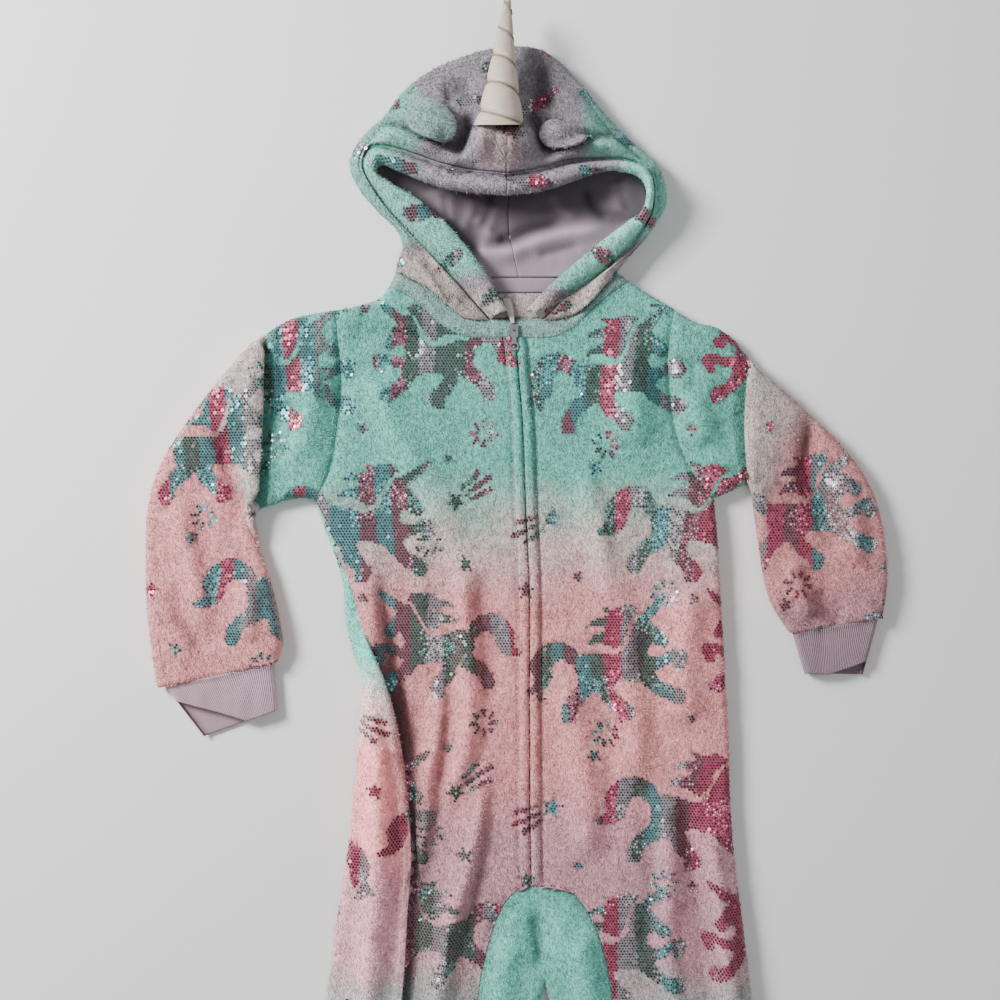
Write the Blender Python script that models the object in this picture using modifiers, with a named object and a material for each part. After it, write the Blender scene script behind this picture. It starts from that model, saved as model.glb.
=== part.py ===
"""A child's hooded fleece onesie with a unicorn hood, laid flat on its back.

Lengths in the tables are millimetres and become metres in the meshes. X runs across the
garment, Y up towards the hood and Z up from the surface that it lies on. Left and right are
as seen from above. Every cloth piece is a grid of points with a wall given by Solidify, and
neighbouring pieces stop SEAM short of each other.
"""

import math
from collections import namedtuple

import bmesh
import bpy
import numpy as np
from mathutils import Matrix, Vector
from mathutils.bvhtree import BVHTree

MM = 0.001
ORIGIN_Y = -15.85  # moves the tables' waist line so that the garment's box is centred

WALL = 3.0  # coral fleece with its nap
JERSEY = 1.4  # lining
SEAM = 0.3
EDGE_RADIUS = 7.0  # the rolled side edges of the two layers together
MID = EDGE_RADIUS  # height of the side edges
LIP = 0.9  # upright strip that ends a rolled edge
CENTRE_SAG = 4.2  # how far the front sinks onto the back away from its edges
SAG_FROM, SAG_TO = 16.0, 62.0
TOP_LEAST = 2 * WALL + 1.3  # the lowest that the top layer sinks

HEM_Y = -525.0
LEG_END_Y = -586.0

# ---------------------------------------------------------------- outlines (x, y)
SHOULDER_LEFT = ((-109, 378), (-114, 371), (-123, 366), (-138, 362), (-154, 359))
SHOULDER_RIGHT = ((96, 383), (113, 372), (124, 366), (134, 360))
ARMHOLE_LEFT = ((-154, 359), (-151, 318), (-150, 289), (-153, 263), (-159, 223), (-171, 197))
ARMHOLE_RIGHT = ((134, 360), (129, 322), (132, 278), (138, 248), (149, 223), (168, 199))
SIDE_LEFT = (
    (-171, 197), (-165, 176), (-155, 151), (-148, 127), (-146, 98), (-140, 71), (-131, 43),
    (-133, 18), (-136, -22), (-142, -87), (-149, -135), (-158, -195), (-168, -270),
    (-172, -355), (-168, -440), (-154, HEM_Y),
)
SIDE_SEAM_LEFT = (
    (-171, 197), (-158, 168), (-148, 143), (-140, 121), (-134, 98), (-126, 71), (-115, 43),
    (-106, 10), (-98, -40), (-93, -102), (-96, -161), (-101, -228), (-112, -313),
    (-123, -398), (-130, -483), (-133, HEM_Y),
)
SIDE_RIGHT = (
    (168, 199), (171, 171), (173, 138), (175, 101), (177, 70), (178, 43), (181, -8),
    (182, -52), (186, -112), (192, -156), (197, -200), (204, -270), (208, -355),
    (204, -440), (190, HEM_Y),
)
CENTRE_BACK = ((-2, 368), (4, 265), (8, 112), (11, 0), (18, -116), (24, -214))
LEG_INNER_LEFT = ((24, -214), (19, -236), (11, -270), (-1, -355), (-14, -440), (-23, HEM_Y))
LEG_INNER_RIGHT = ((24, -214), (30, -236), (39, -270), (51, -355), (62, -440), (71, HEM_Y))
ZIP_LINE = ((-1, 350), (0, 326), (5, 265), (8, 188), (11, 112), (11, 27), (12, -116))
ZIP_HALF_GAP = 0.9
GUSSET_SEAM_LEFT = (
    (16, -131), (-1, -136), (-14, -153), (-25, -185), (-33, -228), (-38, -313), (-40, -398),
    (-40, -483), (-36, HEM_Y),
)
GUSSET_SEAM_RIGHT = (
    (16, -131), (45, -136), (62, -156), (74, -185), (82, -228), (88, -313), (90, -398),
    (88, -483), (83, HEM_Y),
)
NECK_LOWER_LEFT = (
    (-109, 378), (-96, 373), (-85, 366), (-74, 355), (-63, 346), (-52, 340), (-36, 335.5),
    (-2, 336),
)
NECK_UPPER_LEFT = (
    (-103, 390), (-94, 386), (-84, 381), (-74, 376), (-63, 367), (-52, 357), (-38, 350),
    (-2, 350),
)
NECK_LOWER_RIGHT = ((96, 383), (84, 375), (69, 364), (51, 346), (38, 338), (24, 335), (-2, 335.5))
NECK_UPPER_RIGHT = ((86, 391), (78, 382), (70, 373), (62, 364), (50, 355), (30, 350), (-2, 350))
NECK_BACK_LEFT = ((-109, 378), (-60, 371), (-2, 368))
NECK_BACK_RIGHT = ((96, 383), (50, 372), (-2, 368))
BACK_NECK_LEFT = (NECK_BACK_LEFT, ((-103, 390), (-8, 382.5)))
BACK_NECK_RIGHT = (NECK_BACK_RIGHT, ((86, 391), (-8, 382.5)))

# Sleeve rings from the armhole to the cuff seam: outer edge, inner edge, and how far the top
# layer stands above the rest. The jump in rise is the forearm lying over the upper arm.
Ring = namedtuple("Ring", "outer_x outer_y inner_x inner_y rise")
SLEEVE_LEFT = (
    Ring(-154, 359, -171, 197, 0.0),
    Ring(-172, 356, -182, 199, 0.5),
    Ring(-190, 352, -195, 197, 0.0),
    Ring(-204, 345, -209, 193, -2.0),
    Ring(-213, 339, -220, 189, -3.2),
    Ring(-218, 336, -226, 186, 7.0),
    Ring(-224, 331, -228, 183, 9.0),
    Ring(-240, 315, -225, 174, 6.0),
    Ring(-262, 289, -221, 161, 3.0),
    Ring(-285, 258, -216, 148, 1.5),
    Ring(-304, 226, -212, 136, 1.0),
    Ring(-314, 190, -208, 122, 1.5),
    Ring(-316, 150, -204, 106, 2.5),
    Ring(-315, 108, -201, 90, 3.0),
    Ring(-311, 70, -199, 74, 2.5),
    Ring(-306, 37, -204, 59, -1.0),
)
SLEEVE_RIGHT = (
    Ring(134, 360, 168, 199, 0.0),
    Ring(151, 349, 177, 202, 0.5),
    Ring(168, 345, 185, 206, 0.0),
    Ring(184, 335, 192, 209, -2.0),
    Ring(197, 319, 197, 210, -3.2),
    Ring(202, 313, 200, 205, 7.0),
    Ring(210, 305, 201, 198, 9.0),
    Ring(230, 288, 202, 188, 6.0),
    Ring(255, 265, 204, 176, 3.0),
    Ring(277, 243, 206, 162, 1.5),
    Ring(296, 219, 208, 148, 1.0),
    Ring(308, 192, 210, 135, 1.5),
    Ring(314, 160, 213, 121, 2.5),
    Ring(316, 128, 219, 105, 2.0),
    Ring(312, 97, 233, 84, -1.0),
)
# Cuff corners: outer and inner edge at the seam and at the open end.
Cuff = namedtuple("Cuff", "seam_outer seam_inner end_outer end_inner front_short")
CUFF_LEFT = Cuff((-300, 38.3), (-207, 58.4), (-267, -5), (-204, 18), 0.72)
CUFF_RIGHT = Cuff((309, 96.5), (235.5, 84.4), (296, 48), (246, 49), 0.25)
LEG_CUFF_LEFT = Cuff((-150, HEM_Y), (-27, HEM_Y), (-139, LEG_END_Y), (-40, LEG_END_Y), 0.0)
LEG_CUFF_RIGHT = Cuff((186, HEM_Y), (75, HEM_Y), (176, LEG_END_Y), (85, LEG_END_Y), 0.0)
CUFF_RADIUS = 5.5

# ---------------------------------------------------------------- folds
# A fold is a soft ridge (height > 0) or trough (height < 0) along a line, `width` to each side.
Fold = namedtuple("Fold", "height width line")
FOLDS = (
    # left side strip and the valley beside it
    Fold(7.0, 15, ((-126, 90), (-122, 20), (-118, -60), (-121, -150), (-128, -230), (-138, -330))),
    Fold(-3.2, 9, ((-109, 96), (-102, 20), (-95, -58), (-91, -130), (-92, -210), (-98, -300))),
    # front left
    Fold(7.0, 17, ((-46, 150), (-42, 70), (-41, 5), (-52, -45), (-70, -90))),
    Fold(6.0, 14, ((-76, 60), (-68, 10), (-78, -60), (-80, -120))),
    Fold(8.0, 18, ((-18, -20), (-36, -70), (-45, -130), (-60, -190), (-72, -280), (-76, -380))),
    Fold(-2.6, 9, ((-68, 160), (-66, 120), (-70, 90))),
    Fold(-2.8, 10, ((-27, 140), (-26, 100), (-25, 60), (-22, 20))),
    Fold(5.0, 22, ((-128, 310), (-100, 250), (-70, 200), (-50, 160))),
    Fold(-2.6, 16, ((-140, 352), (-110, 340), (-75, 330))),
    # front right
    Fold(6.5, 17, ((128, -40), (132, -100), (130, -180), (136, -270), (134, -370))),
    Fold(-2.8, 9, ((142, -42), (146, -80), (153, -125), (160, -190), (166, -260))),
    Fold(6.0, 12, ((164, -70), (168, -120), (178, -190), (184, -270))),
    Fold(5.5, 20, ((60, 220), (76, 150), (92, 70), (100, 0), (98, -60))),
    Fold(4.5, 18, ((40, 60), (52, -10), (60, -80), (56, -120))),
    Fold(5.0, 14, ((150, 130), (140, 60), (146, 0))),
    Fold(5.0, 18, ((90, 330), (100, 290), (96, 240))),
    # legs below
    Fold(6.0, 18, ((-112, -250), (-116, -330), (-108, -420), (-100, -490))),
    Fold(5.5, 16, ((-60, -330), (-62, -410), (-66, -490))),
    Fold(6.0, 18, ((150, -300), (152, -380), (142, -460), (136, -505))),
    Fold(5.0, 15, ((104, -290), (106, -370), (104, -450))),
    # sleeves
    Fold(-2.8, 9, ((-248, 260), (-240, 200), (-231, 170))),
    Fold(5.0, 15, ((-290, 200), (-272, 130), (-264, 80))),
    Fold(-2.6, 8, ((-296, 120), (-275, 90), (-262, 66))),
    Fold(4.0, 14, ((-228, 130), (-226, 100), (-230, 75))),
    Fold(4.5, 13, ((-166, 320), (-178, 270), (-186, 225))),
    Fold(4.5, 12, ((146, 318), (152, 280), (160, 240))),
    Fold(-2.6, 8, ((152, 320), (150, 300), (149, 284))),
    Fold(-2.8, 9, ((248, 260), (246, 222), (264, 180))),
    Fold(5.0, 15, ((270, 222), (284, 180), (286, 140))),
    Fold(-2.6, 8, ((252, 120), (262, 108), (280, 96))),
    Fold(4.0, 13, ((230, 150), (238, 120), (252, 96))),
    # crotch gusset
    Fold(-2.4, 9, ((17, -158), (19, -180), (22, -206))),
    Fold(4.0, 12, ((-8, -170), (-12, -205), (-14, -260))),
    Fold(4.0, 12, ((50, -170), (58, -205), (64, -260))),
)

# Every seam on the top lies in a shallow groove.
SEAM_GROOVES = tuple(
    Fold(-2.0, 7, seam)
    for seam in (
        ARMHOLE_LEFT, ARMHOLE_RIGHT, SIDE_SEAM_LEFT, GUSSET_SEAM_LEFT[::-1], GUSSET_SEAM_RIGHT[::-1]
    )
)

# ---------------------------------------------------------------- hood
# Ribs from the front of the neck round the face opening to the middle of the crown. The rim
# roll lies between its inner edge and the groove; the hood's own cloth runs from the groove
# over the crown to the outer edge and under to the centre back seam.
Rib = namedtuple("Rib", "inner_x inner_y crest groove_x groove_y groove_z rise edge_x edge_y back_y")
HOOD_EDGE_RADIUS = 9.0
HOOD_SEAM_X = -8.0
HOOD_LEFT = (
    Rib(-8, 358, 21, -22, 351.5, 14, 1, -103, 391, 384),
    Rib(-20, 380, 23, -46, 377, 17, 2, -101, 401, 396),
    Rib(-38, 406, 25, -70, 402, 17, 1, -97, 413, 410),
    Rib(-60, 432, 27, -89, 421, 17, 0, -102, 427, 424),
    Rib(-84, 452, 29, -107, 440, 18, 0, -119, 444, 440),
    Rib(-107, 465, 30, -122, 460, 19, 0, -134, 462, 456),
    Rib(-118, 473, 33, -131, 480, 21, 0, -142, 483, 474),
    Rib(-112, 478, 37, -124, 496, 25, 2, -133, 504, 492),
    Rib(-98, 472, 39, -107, 495, 29, 5, -113, 523, 508),
    Rib(-78, 464, 40, -86, 488, 31, 5, -97, 544, 522),
    Rib(-57, 457, 41, -64, 480, 33, 4, -72, 563, 538),
    Rib(-35, 454, 42, -38, 474, 34, 2, -38, 577, 552),
    Rib(HOOD_SEAM_X, 452, 42, HOOD_SEAM_X, 471, 35, 0, HOOD_SEAM_X, 584, 566),
)
HOOD_RIGHT = (
    Rib(9, 359, 21, 21, 352, 14, 2, 86, 392, 384),
    Rib(22, 373, 23, 40, 369, 17, 4, 92, 400, 396),
    Rib(43, 392, 25, 62, 381, 17, 4, 100, 409, 410),
    Rib(68, 413, 27, 86, 400, 17, 0, 110, 420, 424),
    Rib(92, 431, 29, 105, 422, 18, 0, 119, 433, 440),
    Rib(106, 442, 31, 115, 440, 19, 0, 127, 448, 456),
    Rib(109, 458, 34, 117, 462, 21, 0, 127, 465, 474),
    Rib(103, 468, 37, 110, 478, 25, 2, 120, 482, 492),
    Rib(92, 472, 38, 92, 484, 29, 4, 103, 498, 508),
    Rib(76, 473, 39, 69, 484, 31, 5, 79, 521, 522),
    Rib(53, 466, 40, 45, 482, 33, 4, 55, 551, 538),
    Rib(23, 456, 42, 18, 475, 34, 2, 24, 579, 552),
    Rib(HOOD_SEAM_X, 452, 42, HOOD_SEAM_X, 471, 35, 0, HOOD_SEAM_X, 584, 566),
)
CROWN_FOLDS = (
    Fold(-11.0, 11, ((-64, 540), (-52, 543), (-40, 548))),
    Fold(-9.0, 10, ((22, 566), (22, 548), (22, 524))),
    Fold(17.0, 15, ((-42, 503), (-24, 497), (-9, 495), (7, 497), (24, 503))),
    Fold(5.0, 14, ((-92, 518), (-78, 502), (-60, 494))),
    Fold(6.0, 9, ((28, 496), (52, 498), (78, 499), (98, 492))),
    Fold(5.0, 10, ((-122, 508), (-92, 504), (-66, 497))),
    Fold(4.0, 12, ((44, 552), (56, 536), (74, 516))),
)
# The rolled rim's section: share of its width in from the groove, and of its crest height.
RIM_PROFILE = np.array([
    (0.00, 0.00), (0.14, 0.62), (0.38, 0.95), (0.64, 1.00), (0.88, 0.94), (1.00, 0.81),
    (0.94, 0.70), (0.72, 0.66),
])
RIM_WALL = 2.4
RIM_GAP = 1.3  # to the hood's edge in the groove

# Lining of the face opening: from the back of the neck to under the brow.
LINING_SEAM = ((2, 388), (-2, 405), (-6, 425), (-7, 450), (-6, 480))
LINING_EDGE_LEFT = ((-32, 388), (-58, 410), (-88, 438), (-112, 456), (-122, 468), (-116, 482))
LINING_EDGE_RIGHT = ((40, 388), (66, 402), (92, 420), (107, 436), (112, 454), (104, 476))
LINING_FOLDS = (
    Fold(6.0, 12, ((-14, 410), (20, 416), (44, 418), (76, 426))),
    Fold(4.0, 12, ((-60, 430), (-62, 450), (-66, 466))),
    Fold(3.5, 10, ((84, 440), (88, 456), (84, 470))),
)
LINING_EDGE_RISE = 4.0
NECK_TAPE = ((-27, 374.6), (38, 387.2))
NECK_FACING = ((-24, 352.6), (33, 373.8))

Ear = namedtuple("Ear", "x y half_length half_width turn")
EARS = {
    "ear_left": Ear(-70.5, 513, 22.5, 16.8, -36.0), "ear_right": Ear(38, 500.5, 20.0, 12.0, -8.0),
}
EAR_THICKNESS = 17.0
REST_GAP = 0.8  # above the crown's facets

HORN_BASE = (-14.5, 506.0, 53.0)
HORN_TIP = (-8.0, 616.0, 33.0)
HORN_BASE_RADIUS, HORN_TIP_RADIUS = 20.5, 3.0
HORN_WRAPS = 4.5
HORN_GROOVE = 0.09
HORN_RINGS, HORN_SIDES = 24, 14

ZIP_TAPE_WIDTH, ZIP_TAPE_THICKNESS = 22.0, 0.8
Slider = namedtuple("Slider", "x y width length plate neck_width")
SLIDER = Slider(-2.0, 341.0, 7.6, 11.0, 1.4, 1.0)
SLIDER_NECK_LENGTH = 6.0
SUNK = 0.4  # how far the neck and the bridge run into the plate
PIVOT_Y = 343.0  # the pull's axis, across the zip
TAPE_END = (  # x, y, z and width of the tape's free end
    (-3.0, 347.3, 13.4, 2.6),
    (-4.0, 352.0, 13.1, 4.4),
    (-6.0, 360.0, 10.8, 6.4),
    (-8.5, 369.0, 8.6, 7.0),
)
BRIDGE_WIDTH, BRIDGE_BORE, BRIDGE_WIRE = 1.6, 1.15, 1.0
PULL_THICKNESS, PULL_BAR, PULL_EYE = 1.0, 1.2, 3.7
PULL_LENGTH, PULL_NECK, PULL_END = 19.0, 5.0, 7.8
PULL_TILT = 2.5  # degrees that the pull's free end hangs down

MINT = (0.46, 0.74, 0.72)
PINK = (0.86, 0.55, 0.68)
LAVENDER = (0.62, 0.58, 0.74)
BEIGE = (0.80, 0.68, 0.68)
CHAMPAGNE = (0.86, 0.80, 0.70)
SILVER = (0.72, 0.72, 0.72)


# ---------------------------------------------------------------- curves and heights
def smooth_line(points, count):
    """`count` points evenly along a smooth curve through the given points."""
    p = np.array(points, float)
    ends = np.vstack([2 * p[0] - p[1], p, 2 * p[-1] - p[-2]])
    t = np.linspace(0, 1, 9)[:-1, None]
    pieces = []
    for a, b, c, d in zip(ends, ends[1:], ends[2:], ends[3:]):
        pieces.append(
            0.5 * (2 * b + (c - a) * t + (2 * a - 5 * b + 4 * c - d) * t**2
                   + (3 * b - 3 * c + d - a) * t**3)
        )
    curve = np.vstack(pieces + [p[-1:]])
    along = np.concatenate([[0], np.cumsum(np.linalg.norm(np.diff(curve, axis=0), axis=1))])
    at = np.linspace(0, along[-1], count)
    return np.stack([np.interp(at, along, axis) for axis in curve.T], 1)


def joined(*stretches):
    """One side made of (points, rows) stretches, each with that many rows."""
    lines = [smooth_line(points, rows + 1) for points, rows in stretches]
    return np.vstack([line[:-1] for line in lines] + [lines[-1][-1:]])


def distance(points, line):
    """Distance of each point from a polyline, and how far along it the nearest spot is."""
    a, b = line[:-1], line[1:]
    span = b - a
    size = np.maximum((span**2).sum(1), 1e-12)
    share = np.clip(((points[..., None, :] - a) * span).sum(-1) / size, 0, 1)
    apart = np.linalg.norm(points[..., None, :] - a - share[..., None] * span, axis=-1)
    nearest = apart.argmin(-1)
    along = (nearest + np.take_along_axis(share, nearest[..., None], -1)[..., 0]) / len(a)
    return apart.min(-1), along


def smoothstep(x, low, high):
    t = np.clip((x - low) / (high - low), 0, 1)
    return t * t * (3 - 2 * t)


def folded(points, folds):
    """Height that the folds add at each point. A fold fades out over its last fifth."""
    total = np.zeros(points.shape[:-1])
    for fold in folds:
        apart, along = distance(points, smooth_line(fold.line, 24))
        fade = smoothstep(along, -0.02, 0.2) * smoothstep(1 - along, -0.02, 0.2)
        total += fold.height * fade * np.exp(-((apart / fold.width) ** 2))
    return total


OUTLINES = [
    smooth_line(((-103, 390),) + SHOULDER_LEFT[:-1] + tuple(r[:2] for r in SLEEVE_LEFT), 90),
    smooth_line(tuple(r[2:4] for r in reversed(SLEEVE_LEFT)), 50),
    smooth_line(SIDE_LEFT, 80),
    smooth_line(LEG_INNER_LEFT, 40),
    smooth_line(LEG_INNER_RIGHT, 40),
    smooth_line(SIDE_RIGHT, 80),
    smooth_line(tuple(r[2:4] for r in reversed(SLEEVE_RIGHT)), 50),
    smooth_line(((86, 391),) + SHOULDER_RIGHT[:-1] + tuple(r[:2] for r in SLEEVE_RIGHT), 90),
]


def roll(points):
    """0 at the garment's outline, 1 where its rolled edge has ended; and the distance in."""
    inside = np.min([distance(points, line)[0] for line in OUTLINES], axis=0)
    part = np.clip(inside / EDGE_RADIUS, 0, 1)
    return np.sqrt(1 - (1 - part) ** 2), inside


def top_height(points):
    """Height of the outer face of the layer that lies on top."""
    rolled, inside = roll(points)
    sag = CENTRE_SAG * smoothstep(inside, SAG_FROM, SAG_TO)
    swell = folded(points, FOLDS + SEAM_GROOVES) - sag
    return np.maximum(MID + LIP + (EDGE_RADIUS - LIP) * rolled + rolled * swell, TOP_LEAST)


def floor_height(points):
    """Height of the outer face of the layer below: flat, but for its rolled edges."""
    rolled, _ = roll(points)
    return (MID - LIP) * (1 - rolled)


def along_line(line, share):
    """Points at fractions of an evenly spaced line."""
    even = np.linspace(0, 1, len(line))
    return np.stack([np.interp(share, even, axis) for axis in line.T], -1)


def coons(left, right, bottom, top, across):
    """Points between four sides. `across` holds each row's fractions from left to right."""
    rows = len(left)
    up = np.linspace(0, 1, rows)[:, None, None]
    u = across[..., None]
    low, high = along_line(bottom, across), along_line(top, across)
    sides = (1 - u) * left[:, None] + u * right[:, None]
    corners = (1 - up) * ((1 - u) * left[0] + u * right[0]) + up * (
        (1 - u) * left[-1] + u * right[-1]
    )
    return sides + (1 - up) * low + up * high - corners


def set_back(line, by):
    """A line moved `by` to its left, seen in the direction that it runs."""
    along = np.gradient(line, axis=0)
    along /= np.linalg.norm(along, axis=1)[:, None]
    return line + by * np.stack([-along[:, 1], along[:, 0]], 1)


# ---------------------------------------------------------------- objects
def material(name, colour, roughness=0.9, metallic=0.0):
    made = bpy.data.materials.new(name)
    made.use_nodes = True
    shader = made.node_tree.nodes["Principled BSDF"]
    shader.inputs["Base Color"].default_value = (*colour, 1.0)
    shader.inputs["Roughness"].default_value = roughness
    shader.inputs["Metallic"].default_value = metallic
    return made


def place(name, mesh, colour, **finish):
    """An object for a finished mesh, in the garment's collection."""
    thing = bpy.data.objects.new(name, mesh)
    mesh.materials.clear()
    mesh.materials.append(material(name, colour, **finish))
    bpy.data.collections[COLLECTION].objects.link(thing)
    return thing


def raised(plan, height):
    """Plan points with their heights as one grid."""
    return np.concatenate([plan, height[..., None]], -1)


def grid_mesh(name, grid, tube=False):
    """A mesh on a grid of points (rows, columns, 3) in the tables' millimetres."""
    rows, columns = grid.shape[:2]
    points = (grid.reshape(-1, 3) + (0, ORIGIN_Y, 0)) * MM
    quads = [
        (r * columns + c, r * columns + (c + 1) % columns,
         (r + 1) * columns + (c + 1) % columns, (r + 1) * columns + c)
        for r in range(rows - 1)
        for c in range(columns if tube else columns - 1)
    ]
    mesh = bpy.data.meshes.new(name)
    mesh.from_pydata(points.tolist(), [], quads)
    mesh.update()
    return mesh


def cloth(name, grid, colour, wall=WALL, tube=False, face=1.0):
    """A wall of cloth inside a grid of outer points. The highest face looks up or, with a
    `face` of -1, the lowest one down; a tube's outer side looks away from its middle."""
    mesh = grid_mesh(name, grid, tube)
    if tube:
        ring = [v.co for v in mesh.vertices[: grid.shape[1]]]
        first = mesh.polygons[0]
        outward = first.normal.dot(first.center - sum(ring, Vector()) / len(ring))
    else:
        outward = max(mesh.polygons, key=lambda p: face * p.center.z).normal.z * face
    if outward < 0:
        mesh.flip_normals()
    mesh.shade_smooth()
    thing = place(name, mesh, colour)
    solid = thing.modifiers.new("wall", "SOLIDIFY")
    solid.thickness = wall * MM
    solid.offset = -1.0
    return thing


# ---------------------------------------------------------------- body
LEG_ROWS, HIP_ROWS, CHEST_ROWS, SHOULDER_ROWS = 10, 10, 5, 3

ARMHOLE_FROM = LEG_ROWS + HIP_ROWS
SHOULDER_FROM = ARMHOLE_FROM + CHEST_ROWS
ROWS = SHOULDER_FROM + SHOULDER_ROWS + 1
CORNERS = [ARMHOLE_FROM, SHOULDER_FROM]  # rows that end at the armpit and the shoulder's tip
CORNER_GAP = 1.9  # where a rolled edge and a flat seam meet
ROLLED_STEPS = (0.0, 0.0, 1.0, 3.5, EDGE_RADIUS)  # columns in from a rolled edge
SEAM_STEPS = (SEAM / 2, 1.5, 3.0, 5.0, EDGE_RADIUS)  # columns in from a flat seam
ROLLED_UNDER = (0.0, 0.0, 2.0, EDGE_RADIUS)  # the same on the layer below
SEAM_UNDER = (SEAM / 2, 2.0, 4.0, EDGE_RADIUS)
WELT_STEPS = (15.0, 10.0, 8.0, 2.0, ZIP_HALF_GAP)  # columns before the zip
WRAP_CROWD = np.array([1.0, 0.83, 0.66, 0.5, 0.33, 0.16, 0.0])
WELT_HEIGHTS = (0.0, 0.0, 2.4, 2.4, 0.4)


def side_of(side, armhole, shoulder):
    """A panel's outer side from hem to neck: side, armhole and shoulder."""
    return joined(
        (side[::-1], LEG_ROWS + HIP_ROWS),
        (armhole[::-1], CHEST_ROWS),
        (shoulder[::-1], SHOULDER_ROWS),
    )


def steps(rolled_rows, rolled_edge=None, seam_edge=None):
    """Edge columns of each row: rolled where the row ends at the outline, else a seam."""
    return np.where(
        np.array(rolled_rows)[:, None], rolled_edge or ROLLED_STEPS, seam_edge or SEAM_STEPS
    )


def row_fractions(left, right, start, end, inner):
    """Fractions across each row for `start` and `end` steps in mm and `inner` even ones."""
    length = np.linalg.norm(right - left, axis=1)[:, None]
    start, end = start / length, 1 - end / length
    middle = start[:, -1:] + (end[:, :1] - start[:, -1:]) * np.linspace(0, 1, inner + 2)[1:-1]
    return np.hstack([start, middle, end])


def front_panel(side, armhole, shoulder, gusset, neck, rolled_side):
    """Outer points of a front, from its side to the zip, hem to neck."""
    outer = side_of(side, armhole, shoulder)
    centre = joined(
        (gusset[::-1], LEG_ROWS),
        ((gusset[0], ZIP_LINE[-1], ZIP_LINE[-2], ZIP_LINE[-3], ZIP_LINE[-4]), HIP_ROWS),
        ((ZIP_LINE[-4], ZIP_LINE[2], (2, 300)), CHEST_ROWS),
        (((2, 300), (0, 326), neck[-1]), SHOULDER_ROWS),
    )
    row = np.arange(ROWS)
    rolled = (row >= SHOULDER_FROM) | (row == ARMHOLE_FROM) | (rolled_side & (row < ARMHOLE_FROM))
    zipped = row > LEG_ROWS
    end = np.where(zipped[:, None], WELT_STEPS, SEAM_STEPS[::-1])
    across = row_fractions(outer, centre, steps(rolled), end, 5)
    hem = smooth_line((outer[0], centre[0]), 30)
    plan = coons(outer, centre, hem, smooth_line(neck, 60), across)
    plan[0, :, 1] += SEAM / 2
    plan[-1, :, 1] -= SEAM
    height = top_height(plan)
    height[:, -len(WELT_STEPS):] += np.where(zipped[:, None], WELT_HEIGHTS, 0.0)
    height[rolled, 0] = MID + SEAM / 2
    height[CORNERS, 0] = MID + CORNER_GAP
    height[CORNERS, 1] = MID + CORNER_GAP + LIP
    return raised(plan, height)


def back_panel(side, armhole, shoulder, leg_inner, neck, wrap_seam):
    """Outer points of a back, from its side to the centre back seam, hem to neck. Where
    `wrap_seam` is given, the cloth runs round the side and over to that seam on top."""
    outer = side_of(side, armhole, shoulder)
    centre = joined(
        (leg_inner[::-1], LEG_ROWS),
        (CENTRE_BACK[::-1], ROWS - 1 - LEG_ROWS),
    )
    row = np.arange(ROWS)
    rolled = (row >= SHOULDER_FROM) | (row <= ARMHOLE_FROM)
    inner_leg = row <= LEG_ROWS
    start = steps(rolled, ROLLED_UNDER, SEAM_UNDER)
    end = steps(inner_leg, ROLLED_UNDER, SEAM_UNDER)[:, ::-1]
    across = row_fractions(outer, centre, start, end, 2)
    hem = smooth_line((outer[0], centre[0]), 30)
    plan = coons(outer, centre, hem, smooth_line(neck, 60), across)
    plan[0, :, 1] += SEAM / 2
    plan[-1, :, 1] -= SEAM
    height = floor_height(plan)
    height[inner_leg, -1] = MID - SEAM / 2
    height[LEG_ROWS, -2:] = MID - CORNER_GAP - LIP, MID - CORNER_GAP
    if wrap_seam is None:
        height[rolled, 0] = MID - SEAM / 2
        height[CORNERS, 0] = MID - CORNER_GAP
        height[CORNERS, 1] = MID - CORNER_GAP - LIP
        return raised(plan, height)
    # Columns that wrap over the side. Above the armpit they crowd into the panel's edge.
    seam = joined((wrap_seam[::-1], ARMHOLE_FROM), (armhole[::-1], ROWS - 1 - ARMHOLE_FROM))
    reach = np.linalg.norm(seam - outer, axis=1)
    wrap = np.zeros((ROWS, len(WRAP_CROWD), 3))
    height[rolled, 0] = MID - 0.75 * LIP
    for r in row:
        far = reach[r] - SEAM / 2
        if r < ARMHOLE_FROM:  # the side
            wide = np.array([far, (far + EDGE_RADIUS) / 2, EDGE_RADIUS, 3.5, 1.0, 0.0, 0.0])
            inset = wide if far > 2 * EDGE_RADIUS else far * WRAP_CROWD
            spot = outer[r] + (seam[r] - outer[r]) * (inset / reach[r])[:, None]
            wrap[r] = raised(spot, top_height(spot))
            wrap[r, -1, 2] = MID
        elif rolled[r]:
            wrap[r] = raised(plan[r, :1], height[r, :1])
            wrap[r, :, 2] = MID - 0.6 * LIP + (0.6 * LIP - SEAM / 2) * WRAP_CROWD
            if r in CORNERS:
                wrap[r, :, 2] -= CORNER_GAP
                height[r, :2] -= CORNER_GAP
        else:
            step = plan[r, 1] - plan[r, 0]
            spot = plan[r, 0] + 0.8 * step * (1 - WRAP_CROWD[:, None])
            plan[r, 0] += 0.9 * step
            wrap[r] = raised(spot, floor_height(spot))
    wrap[0, :, 1] += SEAM / 2
    return np.concatenate([wrap, raised(plan, height)], 1)


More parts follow.
